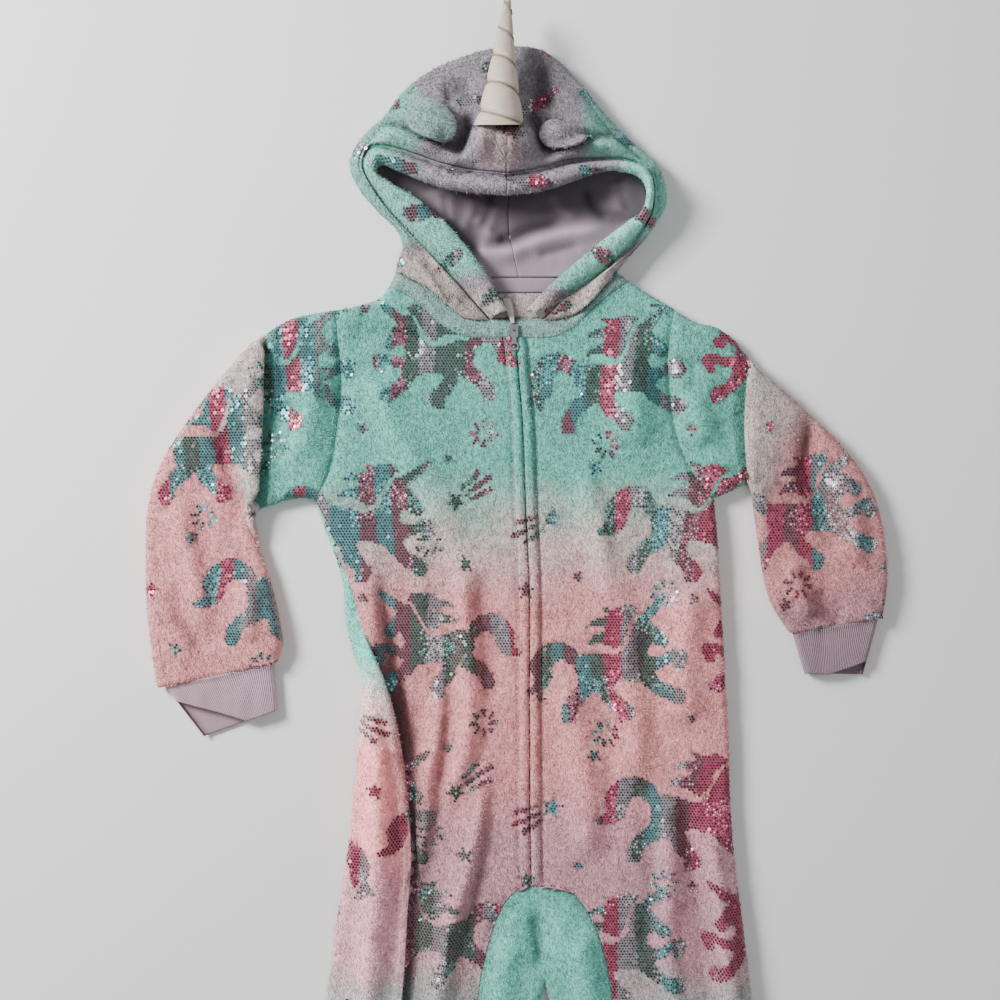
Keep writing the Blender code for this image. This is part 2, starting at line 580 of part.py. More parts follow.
def build_body():
    left = front_panel(
        SIDE_SEAM_LEFT, ARMHOLE_LEFT, SHOULDER_LEFT, GUSSET_SEAM_LEFT, NECK_LOWER_LEFT, False
    )
    cloth("front_left", left, MINT)
    right = front_panel(
        SIDE_RIGHT, ARMHOLE_RIGHT, SHOULDER_RIGHT, GUSSET_SEAM_RIGHT, NECK_LOWER_RIGHT, True
    )
    cloth("front_right", right, MINT)
    left = back_panel(
        SIDE_LEFT, ARMHOLE_LEFT, SHOULDER_LEFT, LEG_INNER_LEFT, NECK_BACK_LEFT, SIDE_SEAM_LEFT
    )
    cloth("back_left", left, PINK, face=-1)
    right = back_panel(
        SIDE_RIGHT, ARMHOLE_RIGHT, SHOULDER_RIGHT, LEG_INNER_RIGHT, NECK_BACK_RIGHT, None
    )
    cloth("back_right", right, PINK, face=-1)


def build_gusset():
    """The strip between the fronts' legs, an upside-down U whose inner edge meets the backs."""
    outer = joined((GUSSET_SEAM_LEFT[::-1], LEG_ROWS), (GUSSET_SEAM_RIGHT, LEG_ROWS))
    inner = joined((LEG_INNER_LEFT[::-1], LEG_ROWS), (LEG_INNER_RIGHT, LEG_ROWS))
    outer = set_back(outer, -2 * SEAM)
    length = np.linalg.norm(inner - outer, axis=1)[:, None]
    steps_in = np.array([0.0, 4.0]) / length
    steps_out = 1 - np.array([EDGE_RADIUS, 3.5, 1.0, 0.0, 0.0]) / np.maximum(length, 2 * EDGE_RADIUS)
    share = np.hstack([steps_in, (steps_in[:, -1:] + steps_out[:, :1]) / 2, steps_out])
    plan = outer[:, None] + (inner - outer)[:, None] * share[..., None]
    plan[[0, -1], :, 1] += SEAM / 2
    height = top_height(plan)
    height[:, -1] = MID + SEAM / 2
    height[LEG_ROWS, -1] = MID + CORNER_GAP
    height[LEG_ROWS, -2] = MID + CORNER_GAP + LIP
    cloth("crotch_gusset", raised(plan, height), MINT)


# ---------------------------------------------------------------- sleeves and cuffs
def flat_ring(width):
    """Fractions across a flattened ring and which of its two layers each belongs to, once
    round: the top layer outward edge to inward edge, then the bottom layer back."""
    edge = np.array(ROLLED_STEPS[1:]) / width
    under_edge = np.array(ROLLED_UNDER[1:]) / width
    middle = np.arange(1, CHEST_ROWS) / CHEST_ROWS
    top = np.concatenate([edge, middle, 1 - edge[::-1]])
    under = np.concatenate([1 - under_edge, 1 - middle, under_edge[::-1]])
    return np.concatenate([top, under]), np.arange(len(top) + len(under)) < len(top)


SLEEVE_GAP = 1.1  # between a sleeve and its armhole's seam, measured along the sleeve


def build_sleeve(name, rings, armhole):
    table = np.array(rings, float)
    outer, inner, rise = table[:, :2], table[:, 2:4], table[:, 4]
    hole = smooth_line(armhole, CHEST_ROWS + 1)
    grid = []
    for k in range(len(table)):
        width = np.linalg.norm(inner[k] - outer[k])
        share, is_top = flat_ring(width)
        spot = outer[k] + (inner[k] - outer[k]) * share[:, None]
        curve = along_line(hole, share)
        bend = curve - (hole[0] + (hole[-1] - hole[0]) * share[:, None])
        spot = spot + bend * max(0.0, 1 - k / 4)
        rolled, _ = roll(spot)
        height = np.where(is_top, top_height(spot) + rise[k] * rolled, floor_height(spot))
        grid.append(raised(spot, height))
    grid = np.array(grid)
    # Both ends stop short of their seams.
    for end, by, gap in ((0, 1, SLEEVE_GAP), (-1, -2, 2 * SEAM)):
        step = grid[by] - grid[end]
        step[:, 2] = 0
        grid[end] += gap * step / np.maximum(np.linalg.norm(step, axis=1), 1e-6)[:, None]
    cloth(name, grid, MINT, tube=True)


def build_cuff(name, cuff, rows=4):
    """A flattened rib tube from its seam to its open end. `front_short` is how much of its
    top layer is drawn back at the outer edge, where the layer below shows."""
    a, b, c, d = (np.array(p, float) for p in cuff[:4])
    inset = (c + d - a - b) / np.linalg.norm(c + d - a - b) * SEAM
    angle = np.linspace(0, math.pi, 6)
    grid = []
    for t in np.linspace(0, 1, rows):
        outer, inner = a + inset + (c - a) * t, b + inset + (d - b) * t
        width = np.linalg.norm(inner - outer)
        edge = CUFF_RADIUS * (1 - np.cos(angle[:3] * 1.25)) / width
        top = np.concatenate([edge, np.linspace(0.14, 0.86, 6), 1 - edge[::-1]])
        under = 1 - top
        share = np.concatenate([top, under])
        is_top = np.arange(len(share)) < len(top)
        short = np.where(is_top, cuff.front_short * np.clip(1 - share / 0.6, 0, 1), 0.0)
        near_edge = ~is_top & (share < 0.1)
        short = np.where(near_edge, cuff.front_short * 0.5 * (0.1 - share) / 0.1, short)
        along = (a + (b - a) * share[:, None]) + inset
        reach = (c + (d - c) * share[:, None]) - (a + (b - a) * share[:, None])
        spot = along + reach * (t * (1 - short))[:, None]
        inside = np.minimum(share, 1 - share) * width
        part = np.clip(inside / CUFF_RADIUS, 0, 1)
        rolled = np.sqrt(1 - (1 - part) ** 2)
        lift = np.where(is_top, 1.0, -1.0) * (0.12 + 0.88 * rolled) * CUFF_RADIUS
        grid.append(raised(spot, CUFF_RADIUS + lift))
    cloth(name, np.array(grid), LAVENDER, wall=2.2, tube=True)


# ---------------------------------------------------------------- neckband
NECKBAND_ACROSS = np.array([0.05, 0.33, 0.67, 0.95])
NECKBAND_PUFF = 1.6


def build_neckband(name, lower, upper, back):
    """Half of the neckband: along the front, round the side and along the back."""
    grid = []
    for on_top in (True, False):
        low = smooth_line(lower if on_top else back[0], 60)
        high = smooth_line(upper if on_top else back[1], 60)
        length = np.linalg.norm(np.diff(low, axis=0), axis=1).sum()
        edge = np.array(ROLLED_STEPS[1:] if on_top else ROLLED_UNDER[1:]) / length
        end = (ZIP_HALF_GAP if on_top else SEAM / 2) / length
        share = np.concatenate([edge, np.linspace(edge[-1], 1 - end, 9 if on_top else 5)[1:]])
        if on_top:
            share = share[::-1]
        first, last = along_line(low, share), along_line(high, share)
        plan = first[:, None] + (last - first)[:, None] * NECKBAND_ACROSS[:, None]
        puff = NECKBAND_PUFF * np.sin(np.pi * NECKBAND_ACROSS) * roll(plan)[0]
        grid.append(raised(plan, top_height(plan) + puff if on_top else floor_height(plan)))
    cloth(name, np.concatenate(grid), MINT)


# ---------------------------------------------------------------- hood
CROWN_TOP = 7  # points of a rib that lie on the crown


def crown_path(rib):
    """A rib's outer points from the groove over the crown, round the edge and under."""
    groove = np.array([rib.groove_x, rib.groove_y])
    edge = np.array([rib.edge_x, rib.edge_y])
    back = np.array([HOOD_SEAM_X, rib.back_y])
    outward = (edge - groove) / np.linalg.norm(edge - groove)
    run = max(np.linalg.norm(edge - groove) - HOOD_EDGE_RADIUS, 2.5)
    radius = np.linalg.norm(edge - groove) - run
    t = np.array([0.0, 0.12, 0.3, 0.5, 0.7, 0.86, 1.0])
    plan = groove + outward * run * t[:, None]
    height = rib.groove_z + (2 * HOOD_EDGE_RADIUS - rib.groove_z) * t**1.5
    height = height + rib.rise * np.sin(np.pi * t) + folded(plan, CROWN_FOLDS) * (1 - t**3)
    top = raised(plan, height)
    turn = np.radians([35.0, 70.0, 110.0, 150.0])
    start = groove + outward * run
    arc = raised(
        start + outward * radius * np.sin(turn)[:, None],
        HOOD_EDGE_RADIUS * (1 + np.cos(turn)),
    )
    share = np.array([0.0, 0.3, 0.65, 1.0])
    under = raised(start + (back - start) * share[:, None], np.zeros(len(share)))
    return np.concatenate([top, arc, under])


def along_x(line, x):
    """The y of a smooth line at each x."""
    points = smooth_line(line, 60)
    points = points[np.argsort(points[:, 0])]
    return np.interp(x, points[:, 0], points[:, 1])


def build_hood(name, ribs, neck, back, side):
    """Half of the hood. Its first rib follows the neckband's seam."""
    grid = np.array([crown_path(rib) for rib in ribs])
    grid[-1, :, 0] += side * 2 * SEAM
    grid[:-1, -1, 0] += side * 2 * SEAM
    bend = along_x(neck, grid[0, :CROWN_TOP, 0]) - grid[0, :CROWN_TOP, 1]
    grid[0, :CROWN_TOP, 1] += bend
    grid[1, :CROWN_TOP, 1] += 0.5 * bend
    under = along_x(back[1], grid[0, CROWN_TOP:, 0])
    grid[0, CROWN_TOP:, 1] = np.maximum(grid[0, CROWN_TOP:, 1], under)
    grid[0, :, 1] += 3 * SEAM
    return cloth(name, grid, LAVENDER)


def build_rim(name, ribs, side):
    """Half of the rolled rim of the face opening."""
    grid = []
    for rib in ribs:
        groove = np.array([rib.groove_x, rib.groove_y])
        inner = np.array([rib.inner_x, rib.inner_y])
        inward = (inner - groove) / np.linalg.norm(inner - groove)
        groove = groove + inward * RIM_GAP
        spot = groove + (inner - groove) * RIM_PROFILE[:, :1]
        height = rib.crest * RIM_PROFILE[:, 1]
        height[:2] = rib.groove_z + (rib.crest - rib.groove_z) * np.array([-0.1, 0.6])
        grid.append(raised(spot, height))
    grid = np.array(grid)
    grid[-1, :, 0] += side * SEAM
    cloth(name, grid, BEIGE, wall=RIM_WALL)


def build_lining(name, edge, side):
    rows = 8
    outer = smooth_line(edge, rows + 1)
    seam = smooth_line(LINING_SEAM, rows + 1) + (side * SEAM / 2, 0)
    across = np.repeat(np.array([[0.0, 0.1, 0.25, 0.5, 0.75, 1.0]]), rows + 1, 0)
    bottom, top = smooth_line((outer[0], seam[0]), 20), smooth_line((outer[-1], seam[-1]), 20)
    plan = coons(outer, seam, bottom, top, across)
    lift = LINING_EDGE_RISE * (1 - across) ** 3 * np.linspace(0.3, 1, rows + 1)[:, None]
    base = WALL + SEAM + 0.3 + JERSEY
    height = base + lift + np.maximum(folded(plan, LINING_FOLDS), 0)
    cloth(name, raised(plan, height), LAVENDER, wall=JERSEY)


def build_strip(name, corners, top, wall, colour):
    """A flat strip of cloth between two opposite corners."""
    (x0, y0), (x1, y1) = corners
    x, y = np.linspace(x0, x1, 6), np.linspace(y0, y1, 3)
    plan = np.stack(np.meshgrid(x, y), -1)
    cloth(name, raised(plan, np.full(plan.shape[:2], top)), colour, wall=wall)


# ---------------------------------------------------------------- ears and horn
def crown_below(hoods):
    """A function that gives the crown's height, in the tables' millimetres, under a spot."""
    graph = bpy.context.evaluated_depsgraph_get()
    trees = [BVHTree.FromObject(hood, graph) for hood in hoods]

    def height(x, y):
        start = Vector((x * MM, (y + ORIGIN_Y) * MM, 1.0))
        hits = [tree.ray_cast(start, Vector((0, 0, -1)))[0] for tree in trees]
        return max([hit.z / MM for hit in hits if hit], default=0.0)

    return height


def from_bmesh(name, shape, colour, **finish):
    mesh = bpy.data.meshes.new(name)
    bmesh.ops.recalc_face_normals(shape, faces=shape.faces)
    shape.to_mesh(mesh)
    shape.free()
    mesh.shade_smooth()
    return place(name, mesh, colour, **finish)


def build_ear(name, ear, below):
    """A stuffed oval that lies on the crown and takes its slope."""
    shape = bmesh.new()
    bmesh.ops.create_uvsphere(shape, u_segments=16, v_segments=9, radius=1.0)
    turn = Matrix.Rotation(math.radians(ear.turn), 2)
    for vertex in shape.verts:
        x, y, z = vertex.co
        spot = Vector((ear.x, ear.y)) + turn @ Vector((x * ear.half_length, y * ear.half_width))
        lift = REST_GAP + EAR_THICKNESS * (z + 1) / 2
        vertex.co = Vector((spot.x, spot.y + ORIGIN_Y, below(*spot) + lift)) * MM
    from_bmesh(name, shape, LAVENDER)


def build_horn(below):
    """A stuffed cone, drawn in along a spiral, that lies on the crown and points up."""
    base, tip = Vector(HORN_BASE), Vector(HORN_TIP)
    axis = (tip - base).normalized()
    side = Vector((1, 0, 0))
    up = side.cross(axis)
    shape = bmesh.new()
    rings = []
    for k in range(HORN_RINGS):
        t = k / (HORN_RINGS - 1)
        ring = []
        for n in range(HORN_SIDES):
            turn = 2 * math.pi * n / HORN_SIDES
            phase = (HORN_WRAPS * t - turn / (2 * math.pi)) % 1.0
            drawn_in = 1 - HORN_GROOVE * math.exp(-((min(phase, 1 - phase) / 0.16) ** 2))
            radius = (HORN_BASE_RADIUS + (HORN_TIP_RADIUS - HORN_BASE_RADIUS) * t**0.75) * drawn_in
            spot = base + (tip - base) * t + (side * math.cos(turn) + up * math.sin(turn)) * radius
            spot.z = max(spot.z, below(spot.x, spot.y) + REST_GAP)
            ring.append(shape.verts.new((spot + Vector((0, ORIGIN_Y, 0))) * MM))
        rings.append(ring)
    for low, high in zip(rings, rings[1:]):
        for n in range(HORN_SIDES):
            m = (n + 1) % HORN_SIDES
            shape.faces.new((low[n], low[m], high[m], high[n]))
    for ring, inset in ((rings[0], -axis * 3.0), (rings[-1], axis * 2.0)):
        middle = sum((v.co for v in ring), Vector()) / HORN_SIDES
        cap = shape.verts.new(middle + inset * MM)
        for n in range(HORN_SIDES):
            shape.faces.new((ring[n], ring[(n + 1) % HORN_SIDES], cap))
    from_bmesh("horn", shape, CHAMPAGNE)


# ---------------------------------------------------------------- zip
def build_zip_tape():
    """The woven tape under the fronts' edges, with the closed teeth on it left smooth."""
    line = smooth_line(((-1, 350), (-1, 337)) + ZIP_LINE[1:], 24)
    line = line[::-1]
    across = np.array([-0.5, -0.1, 0.1, 0.5]) * ZIP_TAPE_WIDTH
    plan = np.stack([set_back(line, by) for by in across], 1)
    middle = top_height(line)[:, None] - WALL - 2 * SEAM
    cloth("zip_tape", raised(plan, middle + 0 * across), LAVENDER, wall=ZIP_TAPE_THICKNESS)


def build_tape_end():
    """The free end of the zip's tape, from the slider to under the rim."""
    table = np.array(TAPE_END)
    half = table[:, 3:4] * np.array([-0.5, 0.5])
    plan = np.stack([table[:, :1] + half, np.repeat(table[:, 1:2], 2, 1)], -1)
    cloth("zip_tape_end", raised(plan, np.repeat(table[:, 2:3], 2, 1)), CHAMPAGNE, wall=0.7)


def box(name, low, high, home):
    """A box between two corners, in the tables' millimetres."""
    shape = bmesh.new()
    bmesh.ops.create_cube(shape, size=1.0)
    mesh = bpy.data.meshes.new(name)
    shape.to_mesh(mesh)
    shape.free()
    thing = bpy.data.objects.new(name, mesh)
    middle = (np.array(low) + high) / 2 + (0, ORIGIN_Y, 0)
    size = Matrix.Diagonal((*(np.array(high) - low) * MM, 1))
    mesh.transform(Matrix.Translation(middle * MM) @ size)
    bpy.data.collections[home].objects.link(thing)
    return thing


def joined_by(thing, other, operation):
    """Adds a Boolean with a helper that is itself left out of the garment."""
    other.hide_render = True
    other.display_type = "WIRE"
    change = thing.modifiers.new(other.name, "BOOLEAN")
    change.operation = operation
    change.object = other


def slider_heights():
    """Heights of the slider's upper face, the pull's axis and the lower end of its neck."""
    spots = np.array([[SLIDER.x + dx, SLIDER.y] for dx in (-SLIDER.width / 2, 0, SLIDER.width / 2)])
    heights = top_height(spots)
    top = heights.max() + NECKBAND_PUFF + 3 * SEAM + SLIDER.plate
    return top, top + BRIDGE_BORE, heights[1] - WALL - SEAM


def build_slider():
    """A plate over the zip, a neck down to the tape and a bridge that carries the pull."""
    top, pivot, tape = slider_heights()
    x, y = SLIDER.x, SLIDER.y
    half, length = SLIDER.width / 2, SLIDER.length / 2
    outer = BRIDGE_BORE + BRIDGE_WIRE
    under = top - SLIDER.plate
    slider = box("zip_slider", (x - half, y - length, under), (x + half, y + length, top), COLLECTION)
    slider.data.materials.append(material("zip_slider", SILVER, roughness=0.3, metallic=1.0))
    neck = box(
        "slider_neck",
        (x - SLIDER.neck_width / 2, y - SLIDER_NECK_LENGTH / 2, tape),
        (x + SLIDER.neck_width / 2, y + SLIDER_NECK_LENGTH / 2, top - SUNK),
        HELPERS,
    )
    bridge = box(
        "slider_bridge",
        (x - BRIDGE_WIDTH / 2, PIVOT_Y - outer, top - SUNK),
        (x + BRIDGE_WIDTH / 2, PIVOT_Y + outer, pivot + outer),
        HELPERS,
    )
    bore = box(
        "slider_bore",
        (x - BRIDGE_WIDTH, PIVOT_Y - BRIDGE_BORE, top),
        (x + BRIDGE_WIDTH, PIVOT_Y + BRIDGE_BORE, pivot + BRIDGE_BORE),
        HELPERS,
    )
    joined_by(slider, neck, "UNION")
    joined_by(slider, bridge, "UNION")
    joined_by(slider, bore, "DIFFERENCE")
    bevel = slider.modifiers.new("rounded", "BEVEL")
    bevel.width = 0.25 * MM
    bevel.segments = 1


def outline_spline(curve, points):
    spline = curve.splines.new("POLY")
    spline.points.add(len(points) - 1)
    for point, (x, y) in zip(spline.points, points):
        point.co = (x * MM, y * MM, 0, 1)
    spline.use_cyclic_u = True


def build_pull():
    """The pull tab: a bar in the slider's bridge, an eye round its post, and a ring end. Its
    origin is on its bar, about which it lifts."""
    curve = bpy.data.curves.new("zip_pull", "CURVE")
    curve.dimensions = "2D"
    curve.fill_mode = "BOTH"
    curve.extrude = PULL_THICKNESS / 2 * MM
    radius = PULL_END / 2
    ring_y = -(PULL_LENGTH - radius)
    bar = PULL_BAR / 2
    turns = np.radians(np.linspace(60, -240, 15))
    end = [(radius * math.cos(a), ring_y + radius * math.sin(a)) for a in turns]
    shoulder = PULL_NECK / 2 + 0.2
    right = [(shoulder, bar), (shoulder, -PULL_EYE - 1.2), (PULL_NECK / 2 - 0.6, -PULL_EYE - 4.0)]
    left = [(-x, y) for x, y in reversed(right)]
    outline_spline(curve, right + end + left)
    eye = BRIDGE_WIDTH / 2 + 0.5
    outline_spline(curve, [(-eye, -bar), (eye, -bar), (eye, -PULL_EYE), (-eye, -PULL_EYE)])
    round_hole = np.radians(np.arange(0, 360, 30))
    hole_x, hole_y = radius - 1.1, radius - 1.9
    outline_spline(curve, [(hole_x * math.cos(a), ring_y + hole_y * math.sin(a)) for a in round_hole])
    pull = bpy.data.objects.new("zip_pull", curve)
    curve.materials.append(material("zip_pull", SILVER, roughness=0.3, metallic=1.0))
    bpy.data.collections[COLLECTION].objects.link(pull)
    pull.location = Vector((SLIDER.x, PIVOT_Y + ORIGIN_Y, slider_heights()[1])) * MM
    pull.rotation_euler.x = math.radians(PULL_TILT)


COLLECTION, HELPERS = "unicorn_onesie", "cutters"


def main():
    for thing in list(bpy.data.objects):
        bpy.data.objects.remove(thing, do_unlink=True)
    for name in (COLLECTION, HELPERS):
        bpy.context.scene.collection.children.link(bpy.data.collections.new(name))
    build_body()
    build_gusset()
    build_sleeve("sleeve_left", SLEEVE_LEFT, ARMHOLE_LEFT)
    build_sleeve("sleeve_right", SLEEVE_RIGHT, ARMHOLE_RIGHT)
    build_cuff("cuff_left", CUFF_LEFT)
    build_cuff("cuff_right", CUFF_RIGHT)
    build_cuff("leg_cuff_left", LEG_CUFF_LEFT, rows=2)
    build_cuff("leg_cuff_right", LEG_CUFF_RIGHT, rows=2)
    build_neckband("neckband_left", NECK_LOWER_LEFT, NECK_UPPER_LEFT, BACK_NECK_LEFT)
    build_neckband("neckband_right", NECK_LOWER_RIGHT, NECK_UPPER_RIGHT, BACK_NECK_RIGHT)
    hoods = [
        build_hood("hood_left", HOOD_LEFT, NECK_UPPER_LEFT, BACK_NECK_LEFT, -1),
        build_hood("hood_right", HOOD_RIGHT, NECK_UPPER_RIGHT, BACK_NECK_RIGHT, 1),
    ]
    build_rim("hood_rim_left", HOOD_LEFT, -1)
    build_rim("hood_rim_right", HOOD_RIGHT, 1)
    build_lining("hood_lining_left", LINING_EDGE_LEFT, -1)
    build_lining("hood_lining_right", LINING_EDGE_RIGHT, 1)
    build_strip("neck_tape", NECK_TAPE, WALL + SEAM + 1.9, 1.6, LAVENDER)
    build_strip("neck_facing", NECK_FACING, WALL + SEAM + 3.1, 2.6, BEIGE)
    bpy.context.view_layer.update()
    below = crown_below(hoods)
    for name, ear in EARS.items():
        build_ear(name, ear, below)
    build_horn(below)
    build_zip_tape()
    build_tape_end()
    build_slider()
    build_pull()


main()
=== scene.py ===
"""A child's hooded fleece onesie laid flat on its back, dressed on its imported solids.

Tables are in millimetres: X across the garment, Y towards the hood, Z up from the surface it
lies on. Meshes are in metres in the part's own frame.
"""

import logging
import math
from collections.abc import Sequence
from dataclasses import dataclass, field
from enum import Enum

import bpy
import numpy as np
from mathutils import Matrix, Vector


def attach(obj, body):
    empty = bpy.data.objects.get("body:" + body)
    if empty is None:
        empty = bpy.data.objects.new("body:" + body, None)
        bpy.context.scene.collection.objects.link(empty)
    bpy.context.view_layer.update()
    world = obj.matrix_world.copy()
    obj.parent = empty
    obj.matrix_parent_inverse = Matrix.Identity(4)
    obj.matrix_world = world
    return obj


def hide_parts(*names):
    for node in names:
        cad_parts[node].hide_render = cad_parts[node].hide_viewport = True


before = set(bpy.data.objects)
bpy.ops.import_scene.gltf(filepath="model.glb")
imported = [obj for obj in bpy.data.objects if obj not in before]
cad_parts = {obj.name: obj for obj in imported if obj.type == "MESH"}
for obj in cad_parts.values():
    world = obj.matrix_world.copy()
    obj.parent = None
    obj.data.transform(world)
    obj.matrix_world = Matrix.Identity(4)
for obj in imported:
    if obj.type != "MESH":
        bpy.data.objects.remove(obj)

Array = np.ndarray
Line = Sequence[tuple[float, float]]
Colour = tuple[float, float, float]
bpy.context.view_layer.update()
LOG = logging.getLogger("onesie")
MM = 0.001
SHIFT_Y = -15.85  # from the tables' waist line to the part's origin
GARMENT = "garment"
SEED = 20


# ---------------------------------------------------------------- tables: outlines (x, y)
SHOULDER_LEFT = ((-109, 378), (-114, 371), (-123, 366), (-138, 362), (-154, 359))
SHOULDER_RIGHT = ((96, 383), (113, 372), (124, 366), (134, 360))
ARMHOLE_LEFT = ((-154, 359), (-151, 318), (-150, 289), (-153, 263), (-159, 223), (-171, 197))
ARMHOLE_RIGHT = ((134, 360), (129, 322), (132, 278), (138, 248), (149, 223), (168, 199))
HEM_Y = -525.0
LEG_END_Y = -586.0
SIDE_LEFT = (
    (-171, 197), (-165, 176), (-155, 151), (-148, 127), (-146, 98), (-140, 71), (-131, 43),
    (-133, 18), (-136, -22), (-142, -87), (-149, -135), (-158, -195), (-168, -270),
    (-172, -355), (-168, -440), (-154, HEM_Y),
)
SIDE_SEAM_LEFT = (
    (-171, 197), (-158, 168), (-148, 143), (-140, 121), (-134, 98), (-126, 71), (-115, 43),
    (-106, 10), (-98, -40), (-93, -102), (-96, -161), (-101, -228), (-112, -313),
    (-123, -398), (-130, -483), (-133, HEM_Y),
)
SIDE_RIGHT = (
    (168, 199), (171, 171), (173, 138), (175, 101), (177, 70), (178, 43), (181, -8),
    (182, -52), (186, -112), (192, -156), (197, -200), (204, -270), (208, -355),
    (204, -440), (190, HEM_Y),
)
CENTRE_BACK = ((-2, 368), (4, 265), (8, 112), (11, 0), (18, -116), (24, -214))
LEG_INNER_LEFT = ((24, -214), (19, -236), (11, -270), (-1, -355), (-14, -440), (-23, HEM_Y))
LEG_INNER_RIGHT = ((24, -214), (30, -236), (39, -270), (51, -355), (62, -440), (71, HEM_Y))
ZIP_LINE = ((-1, 350), (0, 326), (5, 265), (8, 188), (11, 112), (11, 27), (12, -116))
GUSSET_SEAM_LEFT = (
    (16, -131), (-1, -136), (-14, -153), (-25, -185), (-33, -228), (-38, -313), (-40, -398),
    (-40, -483), (-36, HEM_Y),
)
GUSSET_SEAM_RIGHT = (
    (16, -131), (45, -136), (62, -156), (74, -185), (82, -228), (88, -313), (90, -398),
    (88, -483), (83, HEM_Y),
)
NECK_LOWER_LEFT = (
    (-109, 378), (-96, 373), (-85, 366), (-74, 355), (-63, 346), (-52, 340), (-36, 335.5),
    (-2, 336),
)
NECK_UPPER_LEFT = (
    (-103, 390), (-94, 386), (-84, 381), (-74, 376), (-63, 367), (-52, 357), (-38, 350),
    (-2, 350),
)
NECK_LOWER_RIGHT = ((96, 383), (84, 375), (69, 364), (51, 346), (38, 338), (24, 335), (-2, 335.5))
NECK_UPPER_RIGHT = ((86, 391), (78, 382), (70, 373), (62, 364), (50, 355), (30, 350), (-2, 350))
NECK_BACK_LEFT = ((-109, 378), (-60, 371), (-2, 368))
NECK_BACK_RIGHT = ((96, 383), (50, 372), (-2, 368))
BACK_NECK_LEFT = (NECK_BACK_LEFT, ((-103, 390), (-8, 382.5)))
BACK_NECK_RIGHT = (NECK_BACK_RIGHT, ((86, 391), (-8, 382.5)))


@dataclass(frozen=True)
class Ring:
    """A section of a sleeve: its outer and inner edge, and how far its top stands up."""

    outer_x: float
    outer_y: float
    inner_x: float
    inner_y: float
    rise: float


SLEEVE_LEFT = (
    Ring(-154, 359, -171, 197, 0.0), Ring(-172, 356, -182, 199, 0.5),
    Ring(-190, 352, -195, 197, 0.0), Ring(-204, 345, -209, 193, -2.0),
    Ring(-213, 339, -220, 189, -3.2), Ring(-218, 336, -226, 186, 7.0),
    Ring(-224, 331, -228, 183, 9.0), Ring(-240, 315, -225, 174, 6.0),
    Ring(-262, 289, -221, 161, 3.0), Ring(-285, 258, -216, 148, 1.5),
    Ring(-304, 226, -212, 136, 1.0), Ring(-314, 190, -208, 122, 1.5),
    Ring(-316, 150, -204, 106, 2.5), Ring(-315, 108, -201, 90, 3.0),
    Ring(-311, 70, -199, 74, 2.5), Ring(-306, 37, -204, 59, -1.0),
)
SLEEVE_RIGHT = (
    Ring(134, 360, 168, 199, 0.0), Ring(151, 349, 177, 202, 0.5),
    Ring(168, 345, 185, 206, 0.0), Ring(184, 335, 192, 209, -2.0),
    Ring(197, 319, 197, 210, -3.2), Ring(202, 313, 200, 205, 7.0),
    Ring(210, 305, 201, 198, 9.0), Ring(230, 288, 202, 188, 6.0),
    Ring(255, 265, 204, 176, 3.0), Ring(277, 243, 206, 162, 1.5),
    Ring(296, 219, 208, 148, 1.0), Ring(308, 192, 210, 135, 1.5),
    Ring(314, 160, 213, 121, 2.5), Ring(316, 128, 219, 105, 2.0),
    Ring(312, 97, 233, 84, -1.0),
)


@dataclass(frozen=True)
class Fold:
    """A soft ridge (height > 0) or trough (height < 0) along a line, `width` to each side."""

    height: float
    width: float
    line: Line


